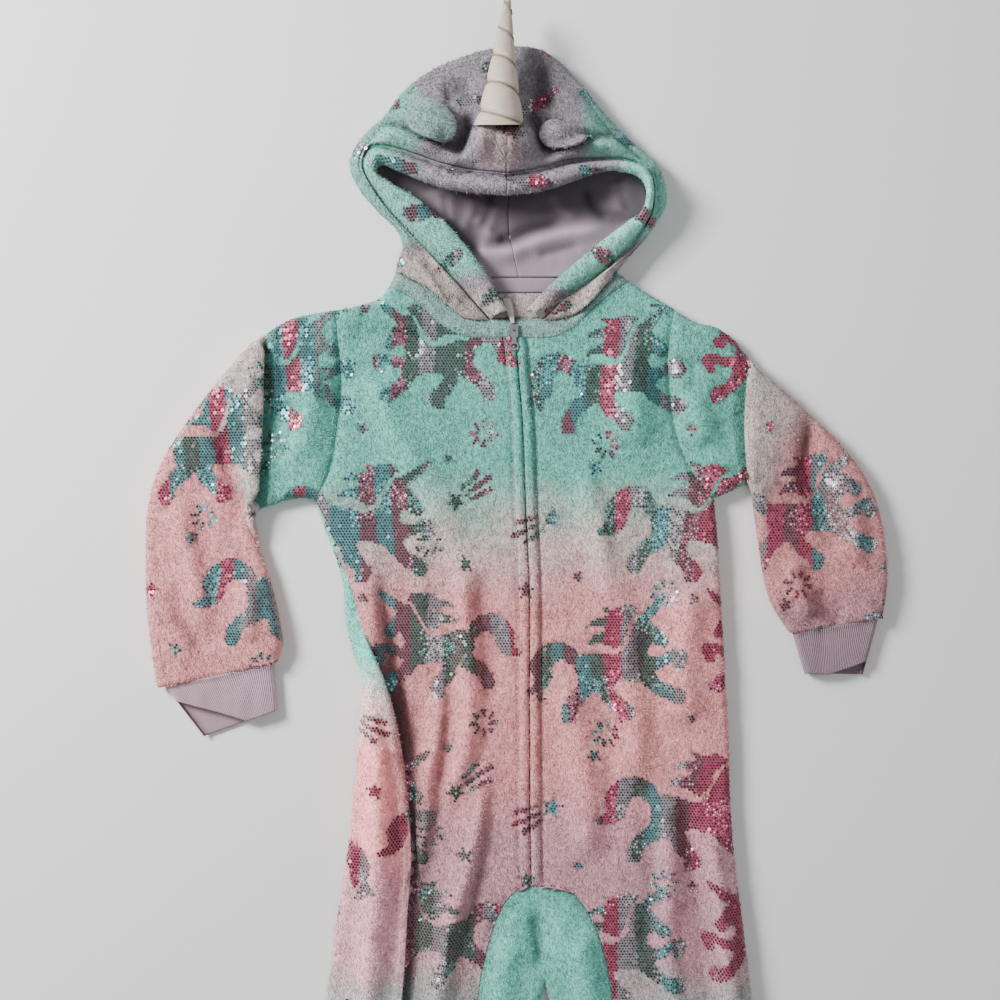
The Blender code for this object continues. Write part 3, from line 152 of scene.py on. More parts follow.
FOLDS = (
    # left side strip and the valley beside it
    Fold(6.0, 11, ((-127, 150), (-124, 90), (-120, 20), (-118, -60), (-121, -150), (-128, -230),
                   (-138, -330))),
    Fold(-3.2, 9, ((-109, 96), (-102, 20), (-95, -58), (-91, -130), (-92, -210), (-98, -300))),
    # front left
    Fold(5.2, 10, ((-46, 156), (-45, 101), (-41, 78), (-41, 5), (-50, -34), (-62, -70))),
    Fold(4.8, 9, ((-62, 52), (-66, 0), (-77, -43), (-80, -80), (-86, -130))),
    Fold(5.6, 10, ((-20, -15), (-31, -60), (-40, -110), (-58, -175), (-72, -280), (-76, -380))),
    Fold(-2.6, 9, ((-68, 160), (-66, 120), (-70, 90))),
    Fold(-2.8, 10, ((-27, 140), (-26, 100), (-25, 60), (-22, 20))),
    Fold(4.4, 14, ((-128, 310), (-100, 250), (-70, 200), (-50, 160))),
    Fold(-2.6, 16, ((-140, 352), (-110, 340), (-75, 330))),
    # front right
    Fold(5.0, 11, ((124, -40), (128, -100), (128, -180), (136, -270), (134, -370))),
    Fold(-2.8, 9, ((142, -42), (146, -80), (153, -125), (160, -190), (166, -260))),
    Fold(5.0, 9, ((164, -70), (168, -120), (178, -190), (184, -270))),
    Fold(4.2, 13, ((60, 220), (76, 150), (92, 70), (100, 0), (98, -60))),
    Fold(3.8, 12, ((40, 60), (52, -10), (60, -80), (56, -120))),
    Fold(5.0, 14, ((150, 130), (140, 60), (146, 0))),
    Fold(5.0, 18, ((90, 330), (100, 290), (96, 240))),
    # legs below
    Fold(6.0, 18, ((-112, -250), (-116, -330), (-108, -420), (-100, -490))),
    Fold(5.5, 16, ((-60, -330), (-62, -410), (-66, -490))),
    Fold(6.0, 18, ((150, -300), (152, -380), (142, -460), (136, -505))),
    Fold(5.0, 15, ((104, -290), (106, -370), (104, -450))),
    # sleeves
    Fold(-2.8, 9, ((-248, 260), (-240, 200), (-231, 170))),
    Fold(4.4, 10, ((-290, 200), (-272, 130), (-264, 80))),
    Fold(-2.6, 8, ((-296, 120), (-275, 90), (-262, 66))),
    Fold(3.6, 10, ((-228, 130), (-226, 100), (-230, 75))),
    Fold(4.5, 13, ((-166, 320), (-178, 270), (-186, 225))),
    Fold(4.5, 12, ((146, 318), (152, 280), (160, 240))),
    Fold(-2.6, 8, ((152, 320), (150, 300), (149, 284))),
    Fold(-4.6, 8, ((250, 276), (247, 222), (262, 184), (276, 150))),
    Fold(4.6, 10, ((270, 222), (284, 180), (286, 140))),
    Fold(-3.4, 8, ((252, 120), (262, 108), (280, 96))),
    Fold(4.0, 9, ((230, 150), (238, 120), (252, 96))),
    # crotch gusset
    Fold(-2.4, 9, ((17, -158), (19, -180), (22, -206))),
    Fold(4.0, 12, ((-8, -170), (-12, -205), (-14, -260))),
    Fold(4.0, 12, ((50, -170), (58, -205), (64, -260))),
)
# Finer creases, which the solids leave out.
CREASES = (
    Fold(-5.0, 6.0, ((-116, 142), (-113, 112), (-108, 80), (-103, 45), (-99, 10), (-95, -30))),
    Fold(-3.0, 6.0, ((-84, 40), (-88, -20), (-90, -90), (-92, -170), (-94, -240))),
    Fold(-2.6, 6.0, ((-58, 60), (-60, 0), (-66, -50), (-74, -110), (-84, -180))),
    Fold(-2.4, 6.0, ((-22, -30), (-26, -80), (-34, -130), (-46, -190))),
    Fold(-2.2, 7.0, ((110, -60), (112, -120), (110, -200))),
    Fold(-2.0, 7.0, ((60, 250), (78, 180), (84, 110), (78, 40))),
    Fold(-2.2, 4.5, ((-108, 78), (-103, 40), (-99, -20), (-94, -60), (-92, -110), (-93, -170))),
    Fold(-1.6, 4.0, ((-58, 120), (-56, 70), (-59, 20), (-66, -30))),
    Fold(-1.4, 4.0, ((-30, -40), (-44, -88), (-52, -140))),
    Fold(1.6, 6.0, ((-30, 110), (-31, 60), (-28, 15))),
    Fold(-1.3, 4.0, ((118, -70), (116, -120), (114, -170))),
    Fold(-1.3, 4.0, ((70, 30), (78, -20), (80, -70))),
    Fold(1.4, 7.0, ((72, 260), (58, 200), (50, 140))),
    Fold(-1.5, 4.0, ((163, 226), (175, 224), (187, 220))),
    Fold(1.6, 5.0, ((162, 234), (176, 232), (188, 229))),
    Fold(-1.6, 4.0, ((150, 318), (148, 300), (149, 285))),
    Fold(-1.5, 5.0, ((-130, 345), (-100, 338), (-70, 334))),
    Fold(-3.2, 5.0, ((248, 268), (247, 226), (262, 186), (272, 168))),
    Fold(-2.4, 5.0, ((-258, 262), (-246, 222), (-232, 187))),
    Fold(-2.2, 5.0, ((-294, 104), (-280, 86), (-268, 66))),
    Fold(-4.0, 4.5, ((15, -150), (16, -162), (18, -180), (20, -200))),
    Fold(2.0, 8.0, ((-2, -150), (-4, -175), (-6, -200))),
    Fold(2.0, 8.0, ((34, -150), (38, -175), (44, -205))),
    Fold(-1.4, 4.0, ((-16, -152), (-22, -176), (-24, -205))),
)
SEAMS_ON_TOP = (
    ARMHOLE_LEFT, ARMHOLE_RIGHT, SIDE_SEAM_LEFT, GUSSET_SEAM_LEFT[::-1], GUSSET_SEAM_RIGHT[::-1]
)
SEAM_GROOVES = tuple(Fold(-2.0, 7, seam) for seam in SEAMS_ON_TOP)
SEAM_LINES = tuple(Fold(-1.9, 2.4, seam) for seam in SEAMS_ON_TOP[:2])


@dataclass(frozen=True)
class Rib:
    """A line over the hood, from the face opening to its back.

    The rim lies from the inner edge to the groove, with its crest between. The hood's own
    cloth runs from the groove over the crown to the edge, and under to the back seam.
    """

    inner_x: float
    inner_y: float
    crest: float
    groove_x: float
    groove_y: float
    groove_z: float
    rise: float
    edge_x: float
    edge_y: float
    back_y: float


HOOD_SEAM_X = -8.0
HOOD_LEFT = (
    Rib(-8, 358, 21, -22, 351.5, 14, 1, -103, 391, 384),
    Rib(-20, 380, 23, -46, 377, 17, 2, -101, 401, 396),
    Rib(-38, 406, 25, -70, 402, 17, 1, -97, 413, 410),
    Rib(-60, 432, 27, -89, 421, 17, 0, -102, 427, 424),
    Rib(-84, 452, 29, -107, 440, 18, 0, -119, 444, 440),
    Rib(-107, 465, 30, -122, 460, 19, 0, -134, 462, 456),
    Rib(-118, 473, 33, -131, 480, 21, 0, -142, 483, 474),
    Rib(-112, 478, 37, -124, 496, 25, 2, -133, 504, 492),
    Rib(-98, 472, 39, -107, 495, 29, 5, -113, 523, 508),
    Rib(-78, 464, 40, -86, 488, 31, 5, -97, 544, 522),
    Rib(-57, 457, 41, -64, 480, 33, 4, -72, 563, 538),
    Rib(-35, 454, 42, -38, 474, 34, 2, -38, 577, 552),
    Rib(HOOD_SEAM_X, 452, 42, HOOD_SEAM_X, 471, 35, 0, HOOD_SEAM_X, 584, 566),
)
HOOD_RIGHT = (
    Rib(9, 359, 21, 21, 352, 14, 2, 86, 392, 384),
    Rib(22, 373, 23, 40, 369, 17, 4, 92, 400, 396),
    Rib(43, 392, 25, 62, 381, 17, 4, 100, 409, 410),
    Rib(68, 413, 27, 86, 400, 17, 0, 110, 420, 424),
    Rib(92, 431, 29, 105, 422, 18, 0, 119, 433, 440),
    Rib(106, 442, 31, 115, 440, 19, 0, 127, 448, 456),
    Rib(109, 458, 34, 117, 462, 21, 0, 127, 465, 474),
    Rib(103, 468, 37, 110, 478, 25, 2, 120, 482, 492),
    Rib(92, 472, 38, 92, 484, 29, 4, 103, 498, 508),
    Rib(76, 473, 39, 69, 484, 31, 5, 79, 521, 522),
    Rib(53, 466, 40, 45, 482, 33, 4, 55, 551, 538),
    Rib(23, 456, 42, 18, 475, 34, 2, 24, 579, 552),
    Rib(HOOD_SEAM_X, 452, 42, HOOD_SEAM_X, 471, 35, 0, HOOD_SEAM_X, 584, 566),
)
EAR_PLACES = ((-70.5, 513, 22.5, 16.8, -36.0), (38, 500.5, 20.0, 12.0, -8.0))
CROWN_FOLDS = (
    Fold(-11.0, 11, ((-64, 540), (-52, 543), (-40, 548))),
    Fold(-9.0, 10, ((22, 566), (22, 548), (22, 524))),
    Fold(17.0, 15, ((-42, 503), (-24, 497), (-9, 495), (7, 497), (24, 503))),
    Fold(4.0, 12, ((-92, 524), (-78, 510), (-62, 500))),
    Fold(3.5, 9, ((24, 482), (44, 487), (66, 493), (96, 492))),
    Fold(3.0, 10, ((-118, 504), (-90, 497), (-62, 488))),
    Fold(4.0, 12, ((44, 552), (56, 536), (74, 516))),
)
CROWN_CREASES = (
    # the brow's second roll and the valleys above it
    Fold(6.0, 6.0, ((-118, 505), (-104, 503), (-90, 497), (-66, 489), (-50, 482), (-38, 478))),
    Fold(6.0, 6.0, ((20, 479), (40, 484), (62, 491), (84, 494), (104, 490))),
    Fold(-6.5, 5.0, ((-118, 516), (-104, 514), (-88, 508), (-66, 499), (-54, 491), (-48, 484))),
    Fold(-6.5, 5.0, ((22, 489), (40, 495), (62, 502), (90, 505))),
    # beside the mound under the horn
    Fold(-8.0, 5.5, ((-40, 524), (-42, 508), (-47, 494), (-52, 484))),
    Fold(-8.0, 5.5, ((13, 524), (16, 508), (20, 496), (25, 486))),
    Fold(2.0, 3.5, ((-26, 504), (-29, 490), (-33, 478))),
    Fold(-1.6, 3.0, ((-18, 503), (-19, 488), (-21, 476))),
    Fold(1.8, 3.5, ((-6, 504), (-5, 490), (-4, 478))),
    Fold(-1.6, 3.0, ((3, 503), (6, 490), (9, 477))),
    Fold(-3.0, 7.0, ((22, 572), (21, 548), (18, 524))),
    Fold(-3.6, 4.5, ((-84, 404), (-66, 388), (-52, 370), (-40, 358))),
    Fold(3.0, 6.0, ((-92, 402), (-76, 386), (-60, 370))),
    Fold(2.6, 4.5, ((-74, 404), (-58, 388), (-44, 370))),
    Fold(-3.4, 4.5, ((72, 396), (58, 380), (40, 364))),
    Fold(3.0, 6.0, ((82, 394), (66, 378), (48, 362))),
)


# ---------------------------------------------------------------- curves and fields
def run_length(line: Array) -> Array:
    """Length along a line up to each of its points."""
    return np.concatenate([[0], np.cumsum(np.linalg.norm(np.diff(line, axis=0), axis=1))])


def unit(vectors: Array, least: float = 0.0) -> Array:
    """Vectors brought to length 1; one shorter than `least` is divided by that instead."""
    return vectors / np.maximum(np.linalg.norm(vectors, axis=-1), least)[..., None]


def heading(line: Array) -> Array:
    """Unit vectors along a line at each of its points."""
    return unit(np.gradient(line, axis=0))


def lengthened(points: Array) -> Array:
    """Rows of points with one more at each end, as far on as the last step."""
    return np.vstack([2 * points[0] - points[1], points, 2 * points[-1] - points[-2]])


def cubic(a: Array, b: Array, c: Array, d: Array, t: Array) -> Array:
    """The stretch from b to c of a smooth curve through four points.

    Its slope at a point is half the step between that point's neighbours.

    Args:
        a: The point before the stretch.
        b: The stretch's first point.
        c: Its last point.
        d: The point after it.
        t: Fractions of the stretch.

    Returns:
        A point for each fraction.
    """
    return 0.5 * (2 * b + (c - a) * t + (2 * a - 5 * b + 4 * c - d) * t**2
                  + (3 * b - 3 * c + d - a) * t**3)


def smooth_line(points: Line, count: int) -> Array:
    """Places points evenly along a smooth curve through the given ones.

    Args:
        points: What the curve passes through, in any number of columns.
        count: How many points to return.

    Returns:
        An array of `count` rows.
    """
    p = np.array(points, float)
    ends = lengthened(p)
    t = np.linspace(0, 1, 9)[:-1, None]
    pieces = [cubic(*four, t) for four in zip(ends, ends[1:], ends[2:], ends[3:])]
    curve = np.vstack(pieces + [p[-1:]])
    along = run_length(curve[:, :3])
    at = np.linspace(0, along[-1], count)
    return np.stack([np.interp(at, along, axis) for axis in curve.T], 1)


def spread(points: Array, count: int) -> Array:
    """A smooth curve through table rows, evenly by row number and not by length."""
    p = np.array(points, float)
    ends = lengthened(p)
    at = np.linspace(0, len(p) - 1, count)
    k = np.minimum(at.astype(int), len(p) - 2)
    return cubic(*(ends[k + n] for n in range(4)), (at - k)[:, None])


def joined(*stretches: tuple[Line, int]) -> Array:
    """One side made of (points, rows) stretches, each with that many rows."""
    lines = [smooth_line(points, rows + 1) for points, rows in stretches]
    return np.vstack([line[:-1] for line in lines] + [lines[-1][-1:]])


def along_line(line: Array, share: Array) -> Array:
    """Points at fractions of an evenly spaced line."""
    even = np.linspace(0, 1, len(line))
    return np.stack([np.interp(share, even, axis) for axis in line.T], -1)


def smoothstep(x: Array, low: float, high: float) -> Array:
    """0 below low, 1 above high, and 3t² - 2t³ between them."""
    t = np.clip((x - low) / (high - low), 0, 1)
    return t * t * (3 - 2 * t)


def distance(points: Array, line: Array) -> tuple[Array, Array]:
    """Distance of each point from a polyline, and how far along it the nearest spot is."""
    a, b = line[:-1], line[1:]
    span = b - a
    size = np.maximum((span**2).sum(1), 1e-12)
    share = np.clip(((points[..., None, :] - a) * span).sum(-1) / size, 0, 1)
    apart = np.linalg.norm(points[..., None, :] - a - share[..., None] * span, axis=-1)
    nearest = apart.argmin(-1)
    along = (nearest + np.take_along_axis(share, nearest[..., None], -1)[..., 0]) / len(a)
    return apart.min(-1), along


def folded(points: Array, folds: Sequence[Fold]) -> Array:
    """Height that the folds add: height · exp(-(distance / width)²), fading at both ends."""
    flat = points.reshape(-1, 2)
    total = np.zeros(len(flat))
    for fold in folds:
        line = smooth_line(fold.line, 24)
        reach = 3 * fold.width
        near = np.flatnonzero(
            ((flat > line.min(0) - reach) & (flat < line.max(0) + reach)).all(1)
        )
        if len(near):
            apart, along = distance(flat[near], line)
            fade = smoothstep(along, -0.02, 0.2) * smoothstep(1 - along, -0.02, 0.2)
            total[near] += fold.height * fade * np.exp(-((apart / fold.width) ** 2))
    return total.reshape(points.shape[:-1])


def noise(points: Array, size: float, seed: int) -> Array:
    """Smooth noise from -1 to 1: random values on a lattice of that size, blended."""
    values = np.random.default_rng(seed).uniform(-1, 1, (256, 256))
    at = points / size + 1000.0
    low = np.floor(at).astype(int)
    t = at - low
    t = t * t * (3 - 2 * t)
    x, y = low[..., 0] % 256, low[..., 1] % 256
    x2, y2 = (x + 1) % 256, (y + 1) % 256
    return (
        (values[x, y] * (1 - t[..., 0]) + values[x2, y] * t[..., 0]) * (1 - t[..., 1])
        + (values[x, y2] * (1 - t[..., 0]) + values[x2, y2] * t[..., 0]) * t[..., 1]
    )


def coons(left: Array, right: Array, bottom: Array, top: Array, across: Array) -> Array:
    """Points between four sides.

    A point is the blend of left and right, plus the blend of bottom and top, less the blend
    of the four corners.

    Args:
        left: The left side, a point for each row.
        right: The right side, a point for each row.
        bottom: The bottom side, evenly spaced.
        top: The top side, evenly spaced.
        across: Each row's fractions from left to right.

    Returns:
        An array of rows, columns and x, y.
    """
    up = np.linspace(0, 1, len(left))[:, None, None]
    u = across[..., None]
    low, high = along_line(bottom, across), along_line(top, across)
    sides = (1 - u) * left[:, None] + u * right[:, None]
    corners = (1 - up) * ((1 - u) * left[0] + u * right[0]) + up * (
        (1 - u) * left[-1] + u * right[-1]
    )
    return sides + (1 - up) * low + up * high - corners


def raised(plan: Array, height: Array) -> Array:
    """Plan points with their heights as one grid."""
    return np.concatenate([plan, np.broadcast_to(height, plan.shape[:-1])[..., None]], -1)


def arcs(grid: Array, axis: int) -> Array:
    """Length along a grid's rows (axis 1) or columns (axis 0) up to each point."""
    step = np.linalg.norm(np.diff(grid, axis=axis), axis=-1)
    first = np.zeros_like(np.take(step, [0], axis))
    return np.concatenate([first, np.cumsum(step, axis)], axis)


# ---------------------------------------------------------------- how the garment lies
@dataclass(frozen=True)
class Lie:
    """The heights of the garment's two layers as it lies flat."""

    edge_radius: float = 7.0
    middle: float = 7.0
    lip: float = 0.5
    centre_sag: float = 4.2
    sag_from: float = 16.0
    sag_to: float = 62.0
    top_least: float = 7.3
    relief: float = 1.8
    outlines: tuple[Array, ...] = field(default_factory=lambda: (
        smooth_line(((-103, 390),) + SHOULDER_LEFT[:-1]
                    + tuple((r.outer_x, r.outer_y) for r in SLEEVE_LEFT), 90),
        smooth_line(tuple((r.inner_x, r.inner_y) for r in reversed(SLEEVE_LEFT)), 50),
        smooth_line(SIDE_LEFT, 80),
        smooth_line(LEG_INNER_LEFT, 40),
        smooth_line(LEG_INNER_RIGHT, 40),
        smooth_line(SIDE_RIGHT, 80),
        smooth_line(tuple((r.inner_x, r.inner_y) for r in reversed(SLEEVE_RIGHT)), 50),
        smooth_line(((86, 391),) + SHOULDER_RIGHT[:-1]
                    + tuple((r.outer_x, r.outer_y) for r in SLEEVE_RIGHT), 90),
    ))

    def roll(self, points: Array) -> tuple[Array, Array]:
        """A quarter circle's height, 0 at the outline to 1 inside, and the distance in."""
        inside = np.min([distance(points, line)[0] for line in self.outlines], axis=0)
        part = np.clip(inside / self.edge_radius, 0, 1)
        return np.sqrt(1 - (1 - part) ** 2), inside

    def top(self, points: Array) -> Array:
        """Height of the outer face of the upper layer, with every fold, seam and lump."""
        rolled, inside = self.roll(points)
        sag = self.centre_sag * smoothstep(inside, self.sag_from, self.sag_to)
        swell = self.relief * folded(points, FOLDS) + folded(points, SEAM_GROOVES) - sag
        base = self.middle + self.lip + (self.edge_radius - self.lip) * rolled
        base = np.maximum(base + rolled * swell, self.top_least)
        fine = folded(points, CREASES + SEAM_LINES)
        fine += 0.9 * noise(points, 46, 3) + 0.5 * noise(points, 19, 4) + 0.22 * noise(points, 7, 5)
        return np.maximum(base + rolled * fine, self.top_least - 2.4)

    def floor(self, points: Array) -> Array:
        """Height of the outer face of the lower layer: flat, but for its rolled edges."""
        rolled, _ = self.roll(points)
        return self.middle * (1 - rolled)


LIE = Lie()


# ---------------------------------------------------------------- shaders
def linear(*srgb: float) -> Colour:
    """A 0 to 255 display colour as linear values."""
    return tuple(((c / 255 + 0.055) / 1.055) ** 2.4 if c > 10 else c / 255 / 12.92 for c in srgb)


@dataclass(frozen=True)
class Socket:
    """An output socket whose arithmetic adds Math nodes to its tree."""

    shader: "Shader"
    socket: bpy.types.NodeSocket

    def math(self, operation: str, first: object, second: object = 0.0) -> "Socket":
        """A Math node on two values, either of which may be a number."""
        return self.shader.add("ShaderNodeMath", {"operation": operation}, {0: first, 1: second})

    def __add__(self, other: object) -> "Socket":
        """Adds a value."""
        return self.math("ADD", self, other)

    def __radd__(self, other: object) -> "Socket":
        """Adds this to a value."""
        return self.math("ADD", other, self)

    def __sub__(self, other: object) -> "Socket":
        """Takes a value from this."""
        return self.math("SUBTRACT", self, other)

    def __rsub__(self, other: object) -> "Socket":
        """Takes this from a value."""
        return self.math("SUBTRACT", other, self)

    def __mul__(self, other: object) -> "Socket":
        """Multiplies by a value."""
        return self.math("MULTIPLY", self, other)

    def __rmul__(self, other: object) -> "Socket":
        """Multiplies a value by this."""
        return self.math("MULTIPLY", other, self)

    def __truediv__(self, other: object) -> "Socket":
        """Divides by a value."""
        return self.math("DIVIDE", self, other)

    def __rtruediv__(self, other: object) -> "Socket":
        """Divides a value by this."""
        return self.math("DIVIDE", other, self)

    def __pow__(self, power: float) -> "Socket":
        """Raises this to a power."""
        return self.math("POWER", self, power)

    def sine(self) -> "Socket":
        """The sine of this value in radians."""
        return self.math("SINE", self)


class Shader:
    """A material with a Principled surface, built up by calls that return sockets."""

    def __init__(self, name: str, roughness: float = 0.9, metallic: float = 0.0) -> None:
        """Starts a material with the given roughness and metallic."""
        self.material = bpy.data.materials.new(name)
        self.material.use_nodes = True
        self.tree = self.material.node_tree
        self.surface = self.tree.nodes["Principled BSDF"]
        self.surface.inputs["Roughness"].default_value = roughness
        self.surface.inputs["Metallic"].default_value = metallic

    def set(self, target: bpy.types.NodeSocket, value: object) -> None:
        """Links a socket to an input, or stores a plain value on it."""
        if isinstance(value, Socket):
            self.tree.links.new(value.socket, target)
        elif target.type == "RGBA" and len(value) == 3:
            target.default_value = (*value, 1.0)
        else:
            target.default_value = value

    def add(self, kind: str, settings: dict, inputs: dict, output: int | str = 0) -> Socket:
        """Adds a node.

        Args:
            kind: The node's type.
            settings: Its properties.
            inputs: What goes into its inputs, by number or name.
            output: Which output to return.

        Returns:
            That output's socket.
        """
        node = self.tree.nodes.new(kind)
        for key, value in settings.items():
            setattr(node, key, value)
        for key, value in inputs.items():
            self.set(node.inputs[key], value)
        return Socket(self, node.outputs[output])

    def place(self) -> Socket:
        """Object coordinates in metres."""
        return self.add("ShaderNodeTexCoord", {}, {}, "Object")

    def cloth_map(self) -> Socket:
        """The piece's own flat cloth coordinates, in metres."""
        return self.add("ShaderNodeUVMap", {"uv_map": "cloth"}, {}, "UV")

    def attribute(self, name: str) -> Socket:
        """A number kept on the mesh."""
        return self.add("ShaderNodeAttribute", {"attribute_name": name}, {}, "Fac")

    def noise(self, size: float, detail: float = 2.0, rough: float = 0.5,
              at: "Socket | None" = None) -> Socket:
        """Noise from 0 to 1 whose grains are about `size` millimetres."""
        inputs = {"Vector": at or self.place(), "Scale": 1 / (size * MM), "Detail": detail,
                  "Roughness": rough}
        return self.add("ShaderNodeTexNoise", {}, inputs, "Fac")

    def split(self, vector: Socket) -> tuple[Socket, Socket, Socket]:
        """A vector's three parts."""
        node = self.add("ShaderNodeSeparateXYZ", {}, {0: vector}).socket.node
        return tuple(Socket(self, out) for out in node.outputs)

    def ramp(self, factor: Socket, stops: Sequence[tuple[float, Colour]]) -> Socket:
        """Colours blended along 0 to 1."""
        out = self.add("ShaderNodeValToRGB", {}, {"Fac": factor}, "Color")
        elements = out.socket.node.color_ramp.elements
        elements[0].position, elements[0].color = stops[0][0], (*stops[0][1], 1)
        elements[1].position, elements[1].color = stops[-1][0], (*stops[-1][1], 1)
        for position, colour in stops[1:-1]:
            elements.new(position).color = (*colour, 1)
        return out

    def shaded(self, colour: object, value: object) -> Socket:
        """A colour made darker or lighter by a factor."""
        inputs = {"Color": colour, "Value": value}
        return self.add("ShaderNodeHueSaturation", {}, inputs, "Color")

    def finish(self, colour: object, height: "Socket | None" = None, depth: float = 1.0,
               **constants: float) -> bpy.types.Material:
        """Joins colour and relief to the surface.

        Args:
            colour: The base colour.
            height: Relief from 0 to 1.
            depth: What 1 stands for, in millimetres.
            **constants: Other inputs, with _ for a space.

        Returns:
            The finished material.
        """
        self.set(self.surface.inputs["Base Color"], colour)
        for name, value in constants.items():
            self.set(self.surface.inputs[name.replace("_", " ")], value)
        if height is not None:
            bump = self.add("ShaderNodeBump", {}, {"Height": height, "Distance": depth * MM},
                            "Normal")
            self.set(self.surface.inputs["Normal"], bump)
        return self.material


MINT = (0.135, 0.50, 0.42)
GREY = (0.62, 0.50, 0.475)
PINK = (0.80, 0.325, 0.34)
LILAC = (0.60, 0.315, 0.37)
BEIGE = (0.50, 0.43, 0.41)
PLUM_GREY = (0.27, 0.245, 0.285)
LAVENDER = (0.50, 0.335, 0.41)
WARM_GREY = (0.40, 0.30, 0.33)
DEEP_MINT = (0.19, 0.48, 0.41)
BODY_STOPS = (
    (0.0, MINT), (0.14, MINT), (0.2, GREY), (0.256, PINK), (0.40, PINK), (0.46, LILAC),
    (0.55, LILAC), (0.63, MINT), (0.75, MINT), (0.86, PINK), (1.0, PINK),
)
HOOD_STOPS = (
    (0.0, BEIGE), (0.25, BEIGE), (0.4, WARM_GREY), (0.5, PLUM_GREY), (0.62, PLUM_GREY),
    (0.82, DEEP_MINT), (1.0, DEEP_MINT),
)


@dataclass(frozen=True)
class Fleece:
    """Fleece dyed in bands."""

    name: str
    stops: tuple[tuple[float, Colour], ...]

    def material(self) -> bpy.types.Material:
        """Dye by the mesh's tone, mottled by tufts that lean different ways, and times the mesh's
        shade, which holds painted shade and light as well as the print's darkening.
        """
        s = Shader(self.name, roughness=0.95)
        tone = s.attribute("tone") + (s.noise(34.0, 2.0) - 0.5) * 0.05
        x, y, z = s.split(s.place())
        drawn_out = s.add("ShaderNodeCombineXYZ", {}, {0: x, 1: y * 0.6, 2: z})
        tufts, locks = s.noise(1.1, 2.0, 0.6, drawn_out), s.noise(3.2, 1.0, 0.5, drawn_out)
        clouds = s.noise(15.0, 2.0)
        value = 1.0 + 1.7 * (tufts - 0.5) + 0.9 * (locks - 0.5) + 0.5 * (clouds - 0.5)
        return s.finish(
            s.shaded(s.ramp(tone, self.stops), value * s.attribute("shade")),
            tufts * 0.7 + locks * 0.5, 2.4, Sheen_Weight=0.2, Sheen_Roughness=0.6,
        )


class Plain(Enum):
    """Cloths and trims of one colour, with how their surface is made."""

    JERSEY = "jersey"
    RIB = "rib"
    SATIN = "satin"
    TAPE = "tape"
    CORD = "cord"
    THREAD = "thread"
    METAL = "metal"


def plain(name: str, kind: Plain, colour: Colour, roughness: float = 0.8) -> bpy.types.Material:
    """A material of one of the plain kinds.

    Args:
        name: What the material is called.
        kind: How its surface is made.
        colour: Its mean colour.
        roughness: Of the surface.

    Returns:
        The material.
    """
    s = Shader(name, roughness, metallic=1.0 if kind is Plain.METAL else 0.0)
    grain = s.noise(1.2, 2.0)
    cloud = s.noise(18.0, 2.0)
    # The jersey's shade holds painted shadow and painted fold light; the rib's holds each cuff's given
    # factor.
    value = (0.82 + 0.2 * grain + 0.16 * cloud) * (
        s.attribute("shade") if kind in (Plain.JERSEY, Plain.RIB) else 1.0)
    if kind is Plain.METAL:
        wear = s.noise(0.6, 3.0)
        return s.finish(s.shaded(colour, 0.85 + 0.3 * s.noise(2.5)), wear, 0.02,
                        Roughness=roughness + 0.15 * (wear - 0.5))
    u, v, _ = s.split(s.cloth_map())
    waves = {
        Plain.JERSEY: (1.1, 1.6, 0.15), Plain.RIB: (1.9, 40.0, 0.35), Plain.SATIN: (0.5, 3.0, 0.05),
        Plain.TAPE: (0.9, 0.9, 0.25), Plain.CORD: (1.3, 1.3, 0.3), Plain.THREAD: (0.4, 0.4, 0.1),
    }
    across, along, depth = waves[kind]
    rows = (u * (2 * math.pi / (across * MM))).sine()
    loops = (v * (2 * math.pi / (along * MM)) + rows * 0.6).sine()
    height = (rows * 0.5 + 0.5) * {Plain.RIB: 1.0, Plain.JERSEY: 0.12}.get(kind, 0.55) + grain * 0.3
    if kind not in (Plain.RIB, Plain.JERSEY):
        height = height + (loops * 0.5 + 0.5) * 0.35
    value = value + (height - 0.5) * (0.12 if kind is Plain.RIB else 0.05)
    sheen = {"Sheen_Weight": 0.15} if kind is Plain.RIB else {}
    return s.finish(s.shaded(colour, value), height, depth * 2.2, **sheen)


# ---------------------------------------------------------------- pieces
def facings(mesh: bpy.types.Mesh) -> tuple[Array, Array]:
    """Each face's height in metres and the upward part of its normal."""
    normals, centres = np.empty((2, 3 * len(mesh.polygons)))
    mesh.polygons.foreach_get("normal", normals)
    mesh.polygons.foreach_get("center", centres)
    return centres[2::3], normals[2::3]


def outward(thing: bpy.types.Object) -> None:
    """Turns a tube's faces away from its middle."""
    z, upward = facings(thing.data)
    if (upward * (z - z.mean())).sum() < 0:
        thing.data.flip_normals()


